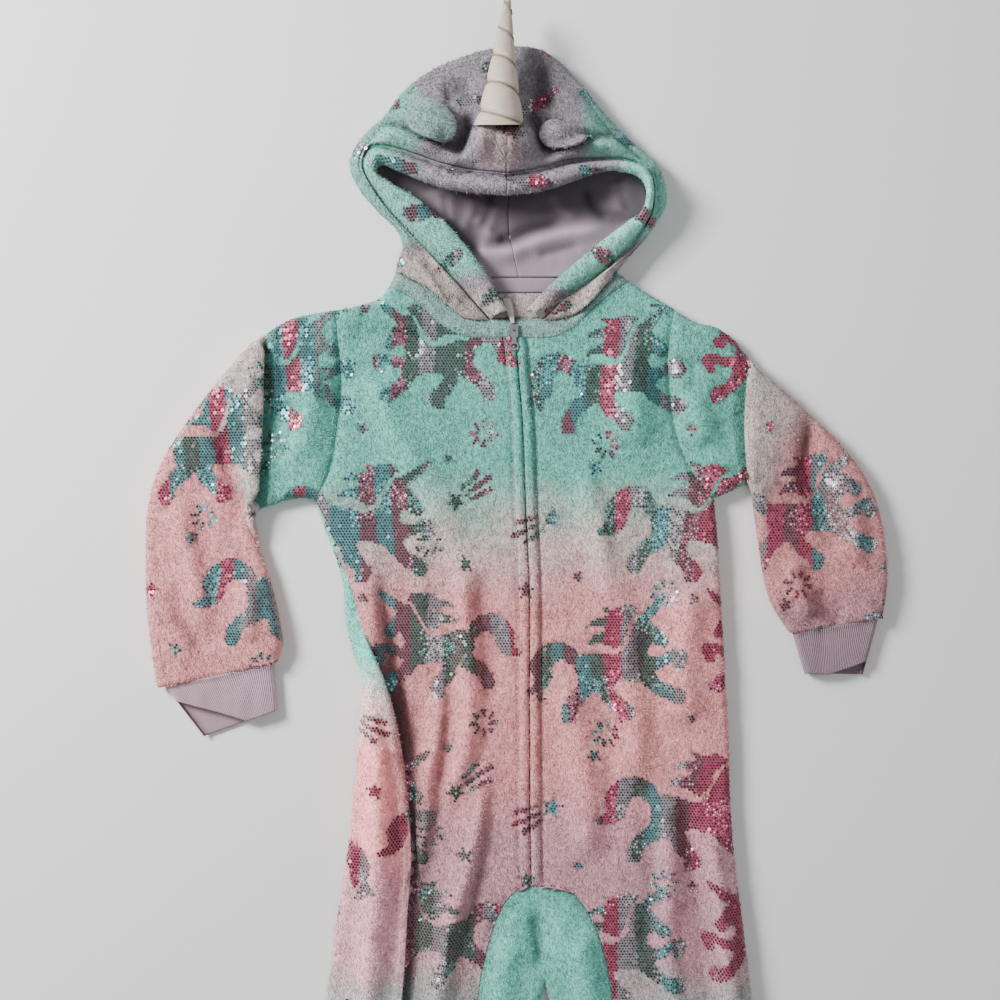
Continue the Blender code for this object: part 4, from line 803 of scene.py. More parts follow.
@dataclass
class Mesh:
    """Points, faces and cloth coordinates gathered for one piece."""

    name: str
    points: list[Array] = field(default_factory=list)
    faces: list[Array] = field(default_factory=list)
    cloth: list[Array] = field(default_factory=list)
    tone: list[Array] = field(default_factory=list)
    shade: list[Array] = field(default_factory=list)
    count: int = 0

    def add(self, points: Array, faces: Array, cloth: Array | None = None,
            tone: Array | float = 0.0, shade: Array | float = 1.0) -> int:
        """Adds points and the faces between them, numbered from their own first point."""
        flat = points.reshape(-1, 3)
        first, self.count = self.count, self.count + len(flat)
        self.points.append(flat)
        self.faces.append(faces + first)
        self.cloth.append(flat[:, :2] if cloth is None else cloth.reshape(-1, 2))
        self.tone.append(np.broadcast_to(tone, points.shape[:-1]).reshape(-1))
        self.shade.append(np.broadcast_to(shade, points.shape[:-1]).reshape(-1))
        return first

    def grid(self, points: Array, cloth: Array | None = None, tone: Array | float = 0.0,
             around: bool = False, shade: Array | float = 1.0) -> int:
        """Adds a grid of points (rows, columns, 3), closed across if `around`."""
        rows, columns = points.shape[:2]
        index = np.arange(rows * columns).reshape(rows, columns)
        if around:
            index = np.hstack([index, index[:, :1]])
        quads = np.stack([index[:-1, :-1], index[:-1, 1:], index[1:, 1:], index[1:, :-1]], -1)
        return self.add(points, quads.reshape(-1, 4), cloth, tone, shade)

    @staticmethod
    def unpinched(faces: Array) -> list[list[int]]:
        """Faces without corners that came together in welding, nor what is left of none."""
        turns = range(1, faces.shape[1] // 2 + 1)
        same = sum((faces == np.roll(faces, k, 1)).any(1) for k in turns)
        lists = faces[same == 0].tolist()
        for row in faces[same > 0].tolist():
            row = [v for k, v in enumerate(row) if v != row[k - 1]]
            if len(set(row)) == len(row) > 2:
                lists.append(row)
        return lists

    def build(self, material: bpy.types.Material, wall: float = 0.0, face: int = 0,
              weld: bool = False) -> bpy.types.Object:
        """Makes the object.

        Args:
            material: Its finish.
            wall: Thickness of cloth to add inside, in millimetres.
            face: 1 turns the highest face up, -1 the lowest face down, 0 keeps the faces.
            weld: Merges points that meet.

        Returns:
            The object, riding on the garment.
        """
        points, faces = np.vstack(self.points), np.vstack(self.faces)
        cloth = np.vstack(self.cloth)
        tone = np.stack([np.concatenate(self.tone), np.concatenate(self.shade)], 1)
        lists = faces.tolist()
        if weld:
            _, first, of = np.unique(np.round(points, 2), axis=0, return_index=True,
                                     return_inverse=True)
            points, cloth, tone = points[first], cloth[first], tone[first]
            lists = self.unpinched(of.reshape(-1)[faces])
        mesh = bpy.data.meshes.new(self.name)
        mesh.from_pydata(((points + (0, SHIFT_Y, 0)) * MM).tolist(), [], lists)
        mesh.update()
        if face:
            z, upward = facings(mesh)
            if face * upward[(face * z).argmax()] < 0:
                mesh.flip_normals()
        corner = np.empty(len(mesh.loops), np.int32)
        mesh.loops.foreach_get("vertex_index", corner)
        layer = mesh.uv_layers.new(name="cloth")
        layer.data.foreach_set("uv", (cloth[corner] * MM).ravel().astype(np.float32))
        for name, column in zip(("tone", "shade"), tone.astype(np.float32).T):
            mesh.attributes.new(name, "FLOAT", "POINT").data.foreach_set("value", column.copy())
        mesh.shade_smooth()
        mesh.materials.append(material)
        thing = bpy.data.objects.new(self.name, mesh)
        bpy.context.scene.collection.objects.link(thing)
        if wall:
            solid = thing.modifiers.new("wall", "SOLIDIFY")
            solid.thickness = wall * MM
            solid.offset = -1.0
        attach(thing, GARMENT)
        LOG.info("%s: %d points, %d faces", self.name, len(points), len(lists))
        return thing


@dataclass(frozen=True)
class Cut:
    """The box, in millimetres, that a cloth piece's flat cut fits in."""

    width: float
    length: float


def declare(thing: bpy.types.Object, cut: Cut, nodes: Sequence[str]) -> None:
    """Hides the solids a cloth piece stands for and works out its area, which nothing uses.

    The area is the outer surface's, or the box's if that is less. Where a wall turns
    tightly, as round the hood's rim, it is more than the cut's own.

    Args:
        thing: The piece.
        cut: The box its flat cut fits in.
        nodes: The solids it replaces.
    """
    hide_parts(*nodes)
    area = min(sum(face.area for face in thing.data.polygons), cut.width * cut.length * MM * MM)


def tone_at(y: Array) -> Array:
    """The dye's place along the body, from shoulder to hem."""
    return (360.0 - y) / 1000.0


def fractions(length: Array, start: Array, end: Array, step: float) -> Array:
    """Fractions across each row, close together at its two ends.

    Args:
        length: Each row's length.
        start: Distances from its first end.
        end: Distances from its last end, nearest last.
        step: About how far apart the others are.

    Returns:
        An array of rows and columns.
    """
    inner = max(2, int(round(np.median(length) / step)))
    first, last = start / length[:, None], 1 - end / length[:, None]
    reach = last[:, :1] - first[:, -1:]
    middle = first[:, -1:] + reach * np.linspace(0, 1, inner + 2)[1:-1]
    return np.hstack([first, middle, last])


ROLLED = np.array([0.0, 0.3, 0.95, 2.05, 3.5, 5.2, 7.0])
SEAMED = np.array([0.15, 0.8, 1.6, 2.6, 4.0, 5.5, 7.0])
WELT = np.array([16.0, 13.5, 11.6, 10.3, 9.3, 8.5, 7.4, 5.8, 4.0, 2.3, 1.1, 0.5, 0.4])
WELT_HEIGHT = np.array([0.0, 0.0, -0.3, -0.9, -1.5, -0.6, 1.6, 2.9, 3.3, 2.9, 1.9, 0.6, -1.4])


# ---------------------------------------------------------------- print
class Foil(Enum):
    """How foil lies on a surface: the repeating shapes, patches, or none."""

    SHAPES = "shapes"
    PATCHES = "patches"
    NONE = "none"


@dataclass(frozen=True)
class Skin:
    """A surface that pile stands on and foil may lie on.

    It has outer points, flat cloth coordinates, dye and shade; `up` is -1 where it faces the
    ground.
    """

    points: Array
    cloth: Array
    tone: Array
    shade: Array
    up: int = 1
    foil: Foil = Foil.SHAPES

    def inked(self, points: Array, cloth: Array) -> Array:
        """Which spots carry foil."""
        if self.foil is Foil.NONE:
            return np.zeros(points.shape[:-1], bool)
        return patched(points) if self.foil is Foil.PATCHES else printed(cloth)


HOOD_FIRST = (-138.0, 366.0)  # the lattice's first place
HOOD_PITCH = (60.0, 34.0)


def hood_print() -> Array:
    """Ovals of foil on a staggered lattice, each with its own shift, size and turn.

    Every second row stands half a pitch across. Shift, half sizes and turn are drawn at
    random about the lattice's places.

    Returns:
        A row for each oval: place, half length, half width and turn in degrees.
    """
    chance = np.random.default_rng(SEED + 3)
    row, column = (index.ravel() for index in np.mgrid[0:7, 0:5])
    place = np.stack([column + 0.5 * (row % 2), row], 1) * HOOD_PITCH + HOOD_FIRST
    place += chance.uniform(-9, 9, place.shape)
    size = np.stack([chance.uniform(11, 22, len(place)), chance.uniform(4.5, 7.5, len(place))], 1)
    return np.column_stack([place, size, chance.uniform(-40, 40, len(place))])


HOOD_PRINT = hood_print()
BACK_SHIFT = (37.0, 91.0)  # how far the backs' print is moved on their cloth
UNICORN = (
    # body with head and legs, mane, tail and horn, in hundredths of its length
    ((64, 90), (70, 92), (77, 85), (86, 76), (92, 70), (91, 63), (85, 62), (79, 66), (74, 63),
     (74, 54), (84, 54), (95, 60), (104, 58), (105, 50), (101, 42), (94, 43), (95, 50), (86, 45),
     (78, 40), (86, 30), (99, 26), (103, 17), (96, 12), (84, 18), (72, 26), (65, 33), (50, 35),
     (41, 32), (46, 22), (57, 12), (54, 2), (45, 0), (43, 8), (32, 17), (27, 28), (18, 22),
     (9, 14), (6, 3), (-4, 2), (-5, 13), (2, 25), (11, 35), (9, 48), (13, 58), (25, 61), (44, 58),
     (55, 66), (60, 80)),
    ((68, 97), (58, 101), (46, 98), (34, 100), (42, 93), (30, 90), (21, 83), (33, 84), (39, 80),
     (28, 76), (20, 68), (34, 69), (47, 63.5), (54, 72), (59, 87)),
    ((14, 60), (6, 69), (-8, 73), (-22, 66), (-30, 52), (-27, 40), (-36, 30), (-22, 30), (-12, 38),
     (-10, 50), (-2, 57), (10, 50)),
    ((70, 92), (78, 86), (96, 112)),
)
TILE = (280.0, 246.0)  # one repeat's width and height
UNICORNS = (  # place, size, turn in degrees, mirrored
    (44, 6, 0.98, 4, False), (192, 26, 0.9, 8, True), (98, 134, 1.02, -8, False),
)
STARS = (  # place, radius
    (8, 120, 8.5), (150, 114, 6.5), (236, 142, 8.0), (66, 226, 7.5), (222, 232, 6.0),
    (20, 30, 6.0), (148, 12, 6.0), (52, 132, 6.0),
)
TRAILS = ((228, 196, 35), (30, 182, 205))  # place and turn of each shooting star
BURSTS = ((252, 8), (126, 118), (206, 160), (76, 244))  # places


def polygon(points: Array, corners: Array) -> Array:
    """Which points lie inside a polygon, by how many of its sides lie to their right."""
    found = np.zeros(len(points), bool)
    near = np.flatnonzero(((points > corners.min(0)) & (points < corners.max(0))).all(1))
    x, y = points[near, :1], points[near, 1:]
    a, b = corners, np.roll(corners, -1, 0)
    spans = (a[:, 1] > y) != (b[:, 1] > y)
    rise = np.where(a[:, 1] == b[:, 1], 1.0, b[:, 1] - a[:, 1])
    right = x < a[:, 0] + (y - a[:, 1]) * (b[:, 0] - a[:, 0]) / rise
    found[near] = (spans & right).sum(1) % 2 == 1
    return found


def turned(points: Array, degrees: float) -> Array:
    """Points turned about the origin."""
    a = math.radians(degrees)
    return points @ np.array([[math.cos(a), math.sin(a)], [-math.sin(a), math.cos(a)]])


def star(radius: float) -> Array:
    """A five-pointed star's corners: radius and 0.42 of it by turns, every 36 degrees."""
    a = np.radians(90 + 36 * np.arange(10))
    r = radius * np.where(np.arange(10) % 2, 0.42, 1.0)
    return np.stack([r * np.cos(a), r * np.sin(a)], 1)


def shapes() -> list[Array]:
    """Every polygon of one repeat of the print."""
    made = []
    for x, y, size, turn, mirrored in UNICORNS:
        for part in UNICORN:
            corners = smooth_line(part + part[:1], 3 * len(part)) * size
            if mirrored:
                corners = corners * (-1, 1) + (74 * size, 0)
            made.append(turned(corners, turn) + (x, y))
    made += [turned(star(r), 7 * n) + (x, y) for n, (x, y, r) in enumerate(STARS)]
    for x, y, turn in TRAILS:
        made.append(turned(star(10.0), turn) + (x, y))
        for k in (-1, 0, 1):
            bar = np.array([(10, 6 * k - 1.8), (10, 6 * k + 1.8), (38 - 7 * abs(k), 9 * k + 2.6),
                            (38 - 7 * abs(k), 9 * k - 2.4)], float)
            made.append(turned(bar, turn) + (x, y))
    for n, (x, y) in enumerate(BURSTS):
        for k in range(8):
            ray = np.array([(5.0, -1.4), (12, -1.8), (12, 1.8), (5.0, 1.4)], float)
            made.append(turned(ray, 45 * k + 11 * n) + (x, y))
    return made


SHAPES = shapes()


def printed(cloth: Array) -> Array:
    """Which cloth coordinates carry print, the repeat's shapes wrapping at its edges."""
    flat = cloth.reshape(-1, 2) % TILE
    found = np.zeros(len(flat), bool)
    for corners in SHAPES:
        for dx in (-TILE[0], 0.0, TILE[0]):
            for dy in (-TILE[1], 0.0, TILE[1]):
                moved = corners + (dx, dy)
                if (moved.max(0) > 0).all() and (moved.min(0) < TILE).all():
                    found |= polygon(flat, moved)
    return found.reshape(cloth.shape[:-1])


def patched(points: Array) -> Array:
    """Which points of the hood lie in one of its ragged oval patches of foil."""
    flat = points[..., :2].reshape(-1, 2)
    ragged = 0.45 * noise(flat, 6.0, 91) + 0.3 * noise(flat, 14.0, 92)
    found = np.zeros(len(flat), bool)
    for x, y, half_length, half_width, turn in HOOD_PRINT:
        local = turned(flat - (x, y), -turn) / (half_length, half_width)
        found |= (local**2).sum(1) + ragged < 1
    return found.reshape(points.shape[:-1])


def inked(cloth: Array) -> Array:
    """Darkening of the pile where foil lies on it."""
    return np.where(printed(cloth), 0.5, 1.0)


def painted_fold_shade(plan: Array) -> Array:
    """Painted light along the ridges and painted shade along the troughs of the folds and creases."""
    return np.clip(1.0 + 0.034 * folded(plan, FOLDS) + 0.12 * folded(plan, CREASES), 0.5, 1.2)


FOIL_STOPS = (
    (0.0, (0.016, 0.018, 0.022)), (0.125, (0.11, 0.17, 0.145)), (0.25, (0.11, 0.32, 0.345)),
    (0.375, (0.16, 0.62, 0.66)), (0.5, (0.92, 0.96, 0.96)), (0.625, (0.37, 0.345, 0.38)),
    (0.75, (0.26, 0.10, 0.14)), (0.875, (0.50, 0.07, 0.15)), (1.0, (0.80, 0.22, 0.36)),
)
BAND_COLOURS = np.array([0.625, 0.125, 0.875, 0.25, 0.75])  # places among the stops
# Bright near-white, teal and pink colours that paint the foil's glints, on dots and on cells in bright
# clusters.
PAINTED_GLINT_COLOURS = np.array([0.5, 0.375, 1.0, 0.375, 1.0])


def foil(name: str) -> bpy.types.Material:
    """Metal foil in nine colours picked by each cell's tone."""
    s = Shader(name, roughness=0.3, metallic=0.45)
    scratch = s.noise(1.1, 3.0)
    return s.finish(s.shaded(s.ramp(s.attribute("tone"), FOIL_STOPS), 0.7 + 0.6 * scratch), scratch,
                    0.12, Roughness=0.2 + 0.25 * scratch)


@dataclass(frozen=True)
class Print:
    """Foil cells on a hexagonal lattice wherever a shape covers the cloth.

    Each is a whole hexagon with a dark dot on top, or a smaller bright dot whose colour paints
    the foil's glints. A cell's cloth coordinates are turned into a place on the surface by
    Newton's method on the grid's blended coordinates. Bands across the cloth give the cells their
    colours; cells in bright clusters take the painted glints' colours.
    """

    pitch: float = 2.7
    radius: float = 1.48
    dot: float = 1.0
    lift: float = 0.35
    bin: float = 3.0

    def lattice(self, skin: Skin) -> Array:
        """Lattice points inside the shapes, over the skin's reach."""
        low, high = skin.cloth.min((0, 1)), skin.cloth.max((0, 1))
        rise = self.pitch * math.sqrt(3) / 2
        row = np.arange(math.ceil(low[1] / rise), int(high[1] / rise) + 1)
        column = np.arange(math.ceil(low[0] / self.pitch), int(high[0] / self.pitch) + 1)
        u = (column + 0.5 * (row[:, None] % 2)) * self.pitch
        v = np.broadcast_to(row[:, None] * rise, u.shape)
        spots = np.stack([u, v], -1).reshape(-1, 2)
        return spots[printed(spots)] if skin.foil is Foil.SHAPES else spots

    @staticmethod
    def blended(grid: Array, at: Array) -> tuple[Array, Array, Array]:
        """Values at fractional rows and columns, and how they change along each."""
        cell = np.minimum(at.astype(int), np.array(grid.shape[:2]) - 2)
        r, c = (at - cell).T[..., None]
        i, j = cell.T
        a, b, d, e = grid[i, j], grid[i, j + 1], grid[i + 1, j], grid[i + 1, j + 1]
        value = (a * (1 - c) + b * c) * (1 - r) + (d * (1 - c) + e * c) * r
        return value, (d - a) * (1 - c) + (e - b) * c, (b - a) * (1 - r) + (e - d) * r

    def settle(self, skin: Skin, spots: Array) -> tuple[Array, Array, Array, Array]:
        """Places the spots on the skin.

        Args:
            skin: The surface.
            spots: Cloth coordinates.

        Returns:
            Which spots lie on it, their points, and the surface's two directions there.
        """
        cloth = skin.cloth
        low = cloth.min((0, 1)) - 2 * self.bin
        size = np.ceil((cloth.max((0, 1)) + 2 * self.bin - low) / self.bin).astype(int) + 1
        first = np.full(size, -1)
        bins = ((cloth.reshape(-1, 2) - low) / self.bin).astype(int)
        first[bins[:, 0], bins[:, 1]] = np.arange(len(bins))
        for _ in range(6):
            for axis in (0, 1):
                for by in (1, -1):
                    near = np.roll(first, by, axis)
                    first = np.where(first < 0, near, first)
        index = ((spots - low) / self.bin).astype(int)
        start = first[index[:, 0], index[:, 1]]
        most = np.array(cloth.shape[:2]) - 1.001
        at = np.stack(np.divmod(np.maximum(start, 0), cloth.shape[1]), 1).astype(float)
        for _ in range(9):
            at = np.clip(at, 0, most)
            value, by_row, by_column = self.blended(cloth, at)
            off = spots - value
            cross = by_row[:, 0] * by_column[:, 1] - by_row[:, 1] * by_column[:, 0]
            cross = np.where(np.abs(cross) < 1e-6, 1e-6, cross)
            step = np.stack([
                (off[:, 0] * by_column[:, 1] - off[:, 1] * by_column[:, 0]) / cross,
                (by_row[:, 0] * off[:, 1] - by_row[:, 1] * off[:, 0]) / cross,
            ], 1)
            at = at + np.clip(step, -4, 4)
        at = np.clip(at, 0, most)
        value, _, _ = self.blended(cloth, at)
        kept = (start >= 0) & (np.linalg.norm(spots - value, axis=1) < 0.25)
        kept &= (at > 0.02).all(1) & (at < most - 0.02).all(1)
        points, by_row, by_column = self.blended(skin.points, at[kept])
        return kept, points, by_row, by_column

    def make(self, skins: Sequence[Skin], material: bpy.types.Material) -> bpy.types.Object:
        """Builds every cell and its dot as one piece."""
        chance = np.random.default_rng(SEED)
        mesh = Mesh("foil_print")
        around = np.radians(30 + 60 * np.arange(6))
        for skin in skins:
            if skin.foil is Foil.NONE:
                continue
            spots = self.lattice(skin)
            kept, points, by_row, by_column = self.settle(skin, spots)
            shown = skin.inked(points, spots[kept])
            spots, points = spots[kept][shown], points[shown]
            by_row, by_column = by_row[shown], by_column[shown]
            normal = unit(np.cross(by_row, by_column), 1e-9)
            facing = np.sign(normal[:, 2]) * skin.up
            normal *= np.where(facing == 0, 1, facing)[:, None]
            side = unit(by_column, 1e-9)
            normal = normal + chance.normal(0, 0.13, normal.shape)
            side = unit(side - normal * (side * normal).sum(1)[:, None]
                        / (normal**2).sum(1)[:, None])
            normal = unit(normal)
            ahead = np.cross(normal, side)
            # A dot is dark, or smaller and of a colour that paints the foil's glints.
            tone, speck = self.colours(spots, chance)
            radius = self.radius * chance.uniform(0.96, 1.02, len(points))
            ring = (side[:, None] * np.cos(around)[:, None] + ahead[:, None] * np.sin(
                around)[:, None]) * radius[:, None, None]
            lift = self.lift if skin.up > 0 else 0.06
            dots = points[:, None] + normal[:, None] * lift + ring
            if skin.up < 0:
                dots[..., 2] = np.maximum(dots[..., 2], -0.1)
            size = self.dot * chance.uniform(0.85, 1.1, (len(points), 1, 1))
            size = size * np.where(speck == 0, 1.0, 0.72)[:, None, None]
            specks = points[:, None] + normal[:, None] * (lift + 0.12) + size * (
                side[:, None] * np.array([1, 0, -1, 0])[:, None]
                + ahead[:, None] * np.array([0, 1, 0, -1])[:, None])
            if skin.up < 0:
                specks[..., 2] = np.maximum(specks[..., 2], -0.2)
            mesh.add(specks, np.arange(4 * len(points)).reshape(-1, 4),
                     np.repeat(spots[:, None], 4, 1), np.repeat(speck[:, None], 4, 1))
            fans = np.array([(0, 1, 2, 3), (0, 3, 4, 5)])
            faces = (np.arange(len(dots))[:, None, None] * 6 + fans).reshape(-1, 4)
            mesh.add(dots, faces, np.repeat(spots[:, None], 6, 1), np.repeat(tone[:, None], 6, 1))
        thing = mesh.build(material)
        thing.data.shade_flat()
        return thing

    @staticmethod
    def colours(spots: Array, chance: np.random.Generator) -> tuple[Array, Array]:
        """Each cell's place in the foil's colours, by upright bands, and its dot's; the bright ones
        paint the foil's glints.
        """
        place = (spots[:, 0] + 9.0 * noise(spots, 70.0, 71)) / 13.0
        band = np.random.default_rng(SEED + 1).permutation(97)[np.floor(place).astype(int) % 97] % 5
        bright = noise(spots, 34.0, 72) + 0.4 * noise(spots, 8.0, 73) + 0.3 * (place % 1.0 - 0.5)
        luck = chance.uniform(0, 1, len(spots))
        base, glint = BAND_COLOURS[band], PAINTED_GLINT_COLOURS[band]
        glint = np.where(luck < 0.2, 0.5, glint)
        lit = (bright > 0.45) & (luck > 0.86)
        return np.where(lit, glint, base), np.where((bright > 0.12) & (luck < 0.42), glint, 0.0)


@dataclass(frozen=True)
class Nap:
    """Tufts of pile standing on the skins, each one triangle that leans with its neighbours.

    Spots are spread by area. A tuft leans along the surface at an angle that wanders with
    place, and is darker at its foot than at its tip: painted shade at the foot and painted light
    at the tip. None stand where foil lies.
    """

    each: float = 2.9
    length: float = 2.7
    width: float = 0.85

    def make(self, name: str, skins: Sequence[Skin], fleece: bpy.types.Material, slot: str,
             ) -> bpy.types.Object:
        """Builds the tufts of some skins as one piece, one for every `each` mm² of them."""
        chance = np.random.default_rng(SEED + len(name))
        mesh = Mesh(name)
        for skin in skins:
            grid = np.concatenate([skin.points, skin.cloth, skin.tone[..., None],
                                   skin.shade[..., None]], -1)
            down = np.diff(skin.points, axis=0)[:, :-1]
            along = np.diff(skin.points, axis=1)[:-1]
            area = np.linalg.norm(np.cross(down, along), axis=-1).ravel()
            cell = chance.choice(len(area), int(area.sum() / self.each), p=area / area.sum())
            rows = np.stack(np.divmod(cell, down.shape[1]), 1) + chance.uniform(0, 1, (len(cell), 2))
            value, by_row, by_column = Print.blended(grid, rows)
            free = ~skin.inked(value[:, :3], value[:, 3:5])
            value, by_row, by_column = value[free], by_row[free, :3], by_column[free, :3]
            normal = np.cross(by_row, by_column)
            size = np.linalg.norm(normal, axis=1)[:, None]
            normal = normal / np.maximum(size, 1e-9) * np.where(normal[:, 2:] < 0, -1, 1)
            spot = value[:, :3]
            turn = -1.6 + 1.3 * noise(spot[:, :2], 24.0, 81) + 0.8 * noise(spot[:, :2], 6.0, 82)
            turn += chance.normal(0, 0.55, len(spot))
            lean = np.stack([np.cos(turn), np.sin(turn), 0 * turn], 1)
            lean = unit(lean - normal * (lean * normal).sum(1)[:, None], 1e-6)
            rise = np.radians(chance.uniform(22, 62, len(spot)))[:, None]
            reach = self.length * chance.uniform(0.6, 1.25, (len(spot), 1))
            side = np.cross(normal, lean) * self.width / 2
            foot = spot - normal * 0.25
            tip = spot + (normal * np.sin(rise) + lean * np.cos(rise)) * reach
            points = np.stack([foot - side, foot + side, tip], 1)
            points[..., 2] = np.maximum(points[..., 2], 0.3)
            # Painted shade at each tuft's foot and painted light at its tip, times the skin's shade
            # and a random tone of its own.
            dark = (value[:, 6] * chance.uniform(0.78, 1.2, len(spot)))[:, None]
            mesh.add(points, np.arange(3 * len(points)).reshape(-1, 3),
                     np.repeat(value[:, None, 3:5], 3, 1), np.repeat(value[:, 5:6], 3, 1),
                     dark * np.array([0.7, 0.7, 1.3]))
        thing = mesh.build(fleece)
        return thing


GUSSET_TOP_Y = -131.0
BACK_CROTCH_Y = -214.0
ZIP_CHEST = (2, 300)
ZIP_THROAT = (0, 326)


@dataclass(frozen=True)
class Body:
    """Two fronts and two backs, from the legs' hems to the neck.

    Each front is a blend between its side line and the zip; its height is the laid top
    layer's, with a welt of half-sine section beside the zip. Each back is flat with rolled
    edges, and the left one comes round the side and lies over the front.
    """

    fleece: bpy.types.Material
    leg_rows: int = 126
    hip_rows: int = 110
    chest_rows: int = 54
    shoulder_rows: int = 22
    wall: float = 3.0

    @property
    def armhole_from(self) -> int:
        """The row at the armpit."""
        return self.leg_rows + self.hip_rows

    def outer(self, side: Line, armhole: Line, shoulder: Line, crotch: float) -> Array:
        """A panel's outer side from hem to neck, with the leg's last row level with its crotch."""
        low = smooth_line(side[::-1], 400)
        cut = np.searchsorted(low[:, 1], crotch)
        return np.vstack([
            smooth_line(low[: cut + 1 : 4], self.leg_rows + 1)[:-1],
            smooth_line(low[cut::4], self.hip_rows + 1)[:-1],
            joined((armhole[::-1], self.chest_rows), (shoulder[::-1], self.shoulder_rows)),
        ])

    def front(self, name: str, side: Line, armhole: Line, shoulder: Line, gusset: Line,
              neck: Line, rolled_side: bool) -> tuple[Mesh, Skin]:
        """One front, from its side to the zip."""
        outer = self.outer(side, armhole, shoulder, GUSSET_TOP_Y)
        centre = joined(
            (gusset[::-1], self.leg_rows),
            ((gusset[0], ZIP_LINE[-1], ZIP_LINE[-2], ZIP_LINE[-3], ZIP_LINE[-4]), self.hip_rows),
            ((ZIP_LINE[-4], ZIP_LINE[2], ZIP_CHEST), self.chest_rows),
            ((ZIP_CHEST, ZIP_THROAT, neck[-1]), self.shoulder_rows),
        )
        row = np.arange(len(outer))
        rolled = (row >= self.armhole_from + self.chest_rows) | (
            rolled_side & (row <= self.armhole_from))
        zipped = row > self.leg_rows
        length = np.linalg.norm(centre - outer, axis=1)
        start = np.where(rolled[:, None], ROLLED, SEAMED)
        flat_end = np.concatenate([np.linspace(16, 8, 6), SEAMED[::-1]])
        across = fractions(length, start, np.where(zipped[:, None], WELT, flat_end), 3.0)
        plan = coons(outer, centre, smooth_line((outer[0], centre[0]), 40),
                     smooth_line(neck, 90), across)
        height = LIE.top(plan)
        fade = smoothstep(row, self.leg_rows, self.leg_rows + 5)[:, None]
        height[:, -len(WELT):] += WELT_HEIGHT * fade
        if not rolled_side:
            under = self.overlap(plan[:, 0, 1])[:, None]
            away = across[:, :18] * length[:, None]
            height[:, :18] -= under * 8.0 * np.exp(-((away / 14.0) ** 2))
            height = np.maximum(height, 4.4)
        height[rolled, 0] = LIE.middle + 0.05
        # Painted fold shade; on the left front also a painted shadow beside the edge of the side strip
        # that lies over it.
        shade = painted_fold_shade(plan)
        if not rolled_side:
            shade[:, :18] *= 1 - 0.82 * under * np.exp(-((away / 15.0) ** 2))
        mesh = Mesh(name)
        grid, tone, shade = raised(plan, height), tone_at(plan[..., 1]), shade * inked(plan)
        mesh.grid(grid, plan, tone, shade=shade)
        return mesh, Skin(grid, plan, tone, shade)

    def overlap(self, y: Array) -> Array:
        """How far the left side strip lies over the front, from 0 to 1, by height."""
        return smoothstep(-y, -96, -60) * (1 - 0.5 * smoothstep(-y, 330, 460))

    def back(self, name: str, side: Line, armhole: Line, shoulder: Line, leg: Line, neck: Line,
             wrap: Line | None) -> tuple[Mesh, list[Skin]]:
        """One back; where `wrap` is given its cloth runs on round the side to that line."""
        outer = self.outer(side, armhole, shoulder, BACK_CROTCH_Y)
        rows = len(outer)
        centre = joined((leg[::-1], self.leg_rows), (CENTRE_BACK[::-1], rows - 1 - self.leg_rows))
        row = np.arange(rows)
        rolled = (row >= self.armhole_from + self.chest_rows) | (row <= self.armhole_from)
        length = np.linalg.norm(centre - outer, axis=1)
        start = np.where(rolled[:, None], ROLLED, SEAMED)
        end = np.where((row <= self.leg_rows)[:, None], ROLLED[::-1], SEAMED[::-1])
        across = fractions(length, start, end, 6.0)
        plan = coons(outer, centre, smooth_line((outer[0], centre[0]), 40),
                     smooth_line(neck, 60), across)
        height = LIE.floor(plan)
        grid = raised(plan, height)
        mesh = Mesh(name)
        under, tone = plan + BACK_SHIFT, tone_at(plan[..., 1])
        mesh.grid(grid, under, tone, shade=inked(under))
        skins = [Skin(grid, under, tone, 1 + 0 * tone, -1)]
        if wrap is not None:
            over, cloth, tone = self.wrapped(outer[: self.armhole_from + 1], wrap)
            # Painted light: the side strip, which faces the key light, is lightened by half over its
            # painted fold shade.
            shade = 1.5 * painted_fold_shade(over[..., :2]) * inked(cloth)
            mesh.grid(over, cloth, tone, shade=shade)
            skins.append(Skin(over[:, 3:], cloth[:, 3:], tone[:, 3:], shade[:, 3:]))
        return mesh, skins

    def wrapped(self, outer: Array, wrap: Line) -> tuple[Array, Array, Array]:
        """The strip of the left back that lies on top, from its edge there to the side.

        Its edge curls: across the last millimetres it swells, hangs over the front by up to
        4 mm and turns back under itself.
        """
        seam = smooth_line(wrap[::-1], len(outer))
        reach = np.linalg.norm(seam - outer, axis=1)[:, None]
        curl = self.overlap(outer[:, 1])[:, None]
        beyond = np.array([-5.0, -1.5, 1.8, 4.0, 5.2, 5.3, 4.5, 2.8, 0.4, -2.6, -6.2, -10.0])
        lift = np.array([-8.6, -8.5, -7.9, -6.6, -4.7, -3.0, -1.5, -0.4, 0.3, 0.6, 0.5, 0.2])
        plain_in = np.array([0.15, 0.4, 0.8, 1.3, 1.9, 2.6, 3.4, 4.3, 5.4, 6.8, 8.4, 10.2])
        edge = curl * -beyond + (1 - curl) * plain_in
        ends = np.minimum(ROLLED[::-1], reach * 0.45 * ROLLED[::-1] / 7.0)
        near = np.minimum(edge, reach * 0.5)
        middle = np.linspace(0, 1, 16)[1:-1]
        first, last = reach - near, ends
        inner = first[:, -1:] + (last[:, :1] - first[:, -1:]) * middle
        inset = np.hstack([first, inner, last])
        toward = (seam - outer) / np.maximum(reach, 0.01)
        plan = outer[:, None] + toward[:, None] * inset[..., None]
        inside = np.minimum(inset, np.maximum(reach - 0.2 - 11.0 * curl, 0.35 * reach))
        height = LIE.top(outer[:, None] + toward[:, None] * inside[..., None])
        height[:, :12] += curl * lift * np.minimum(reach / 20, 1)
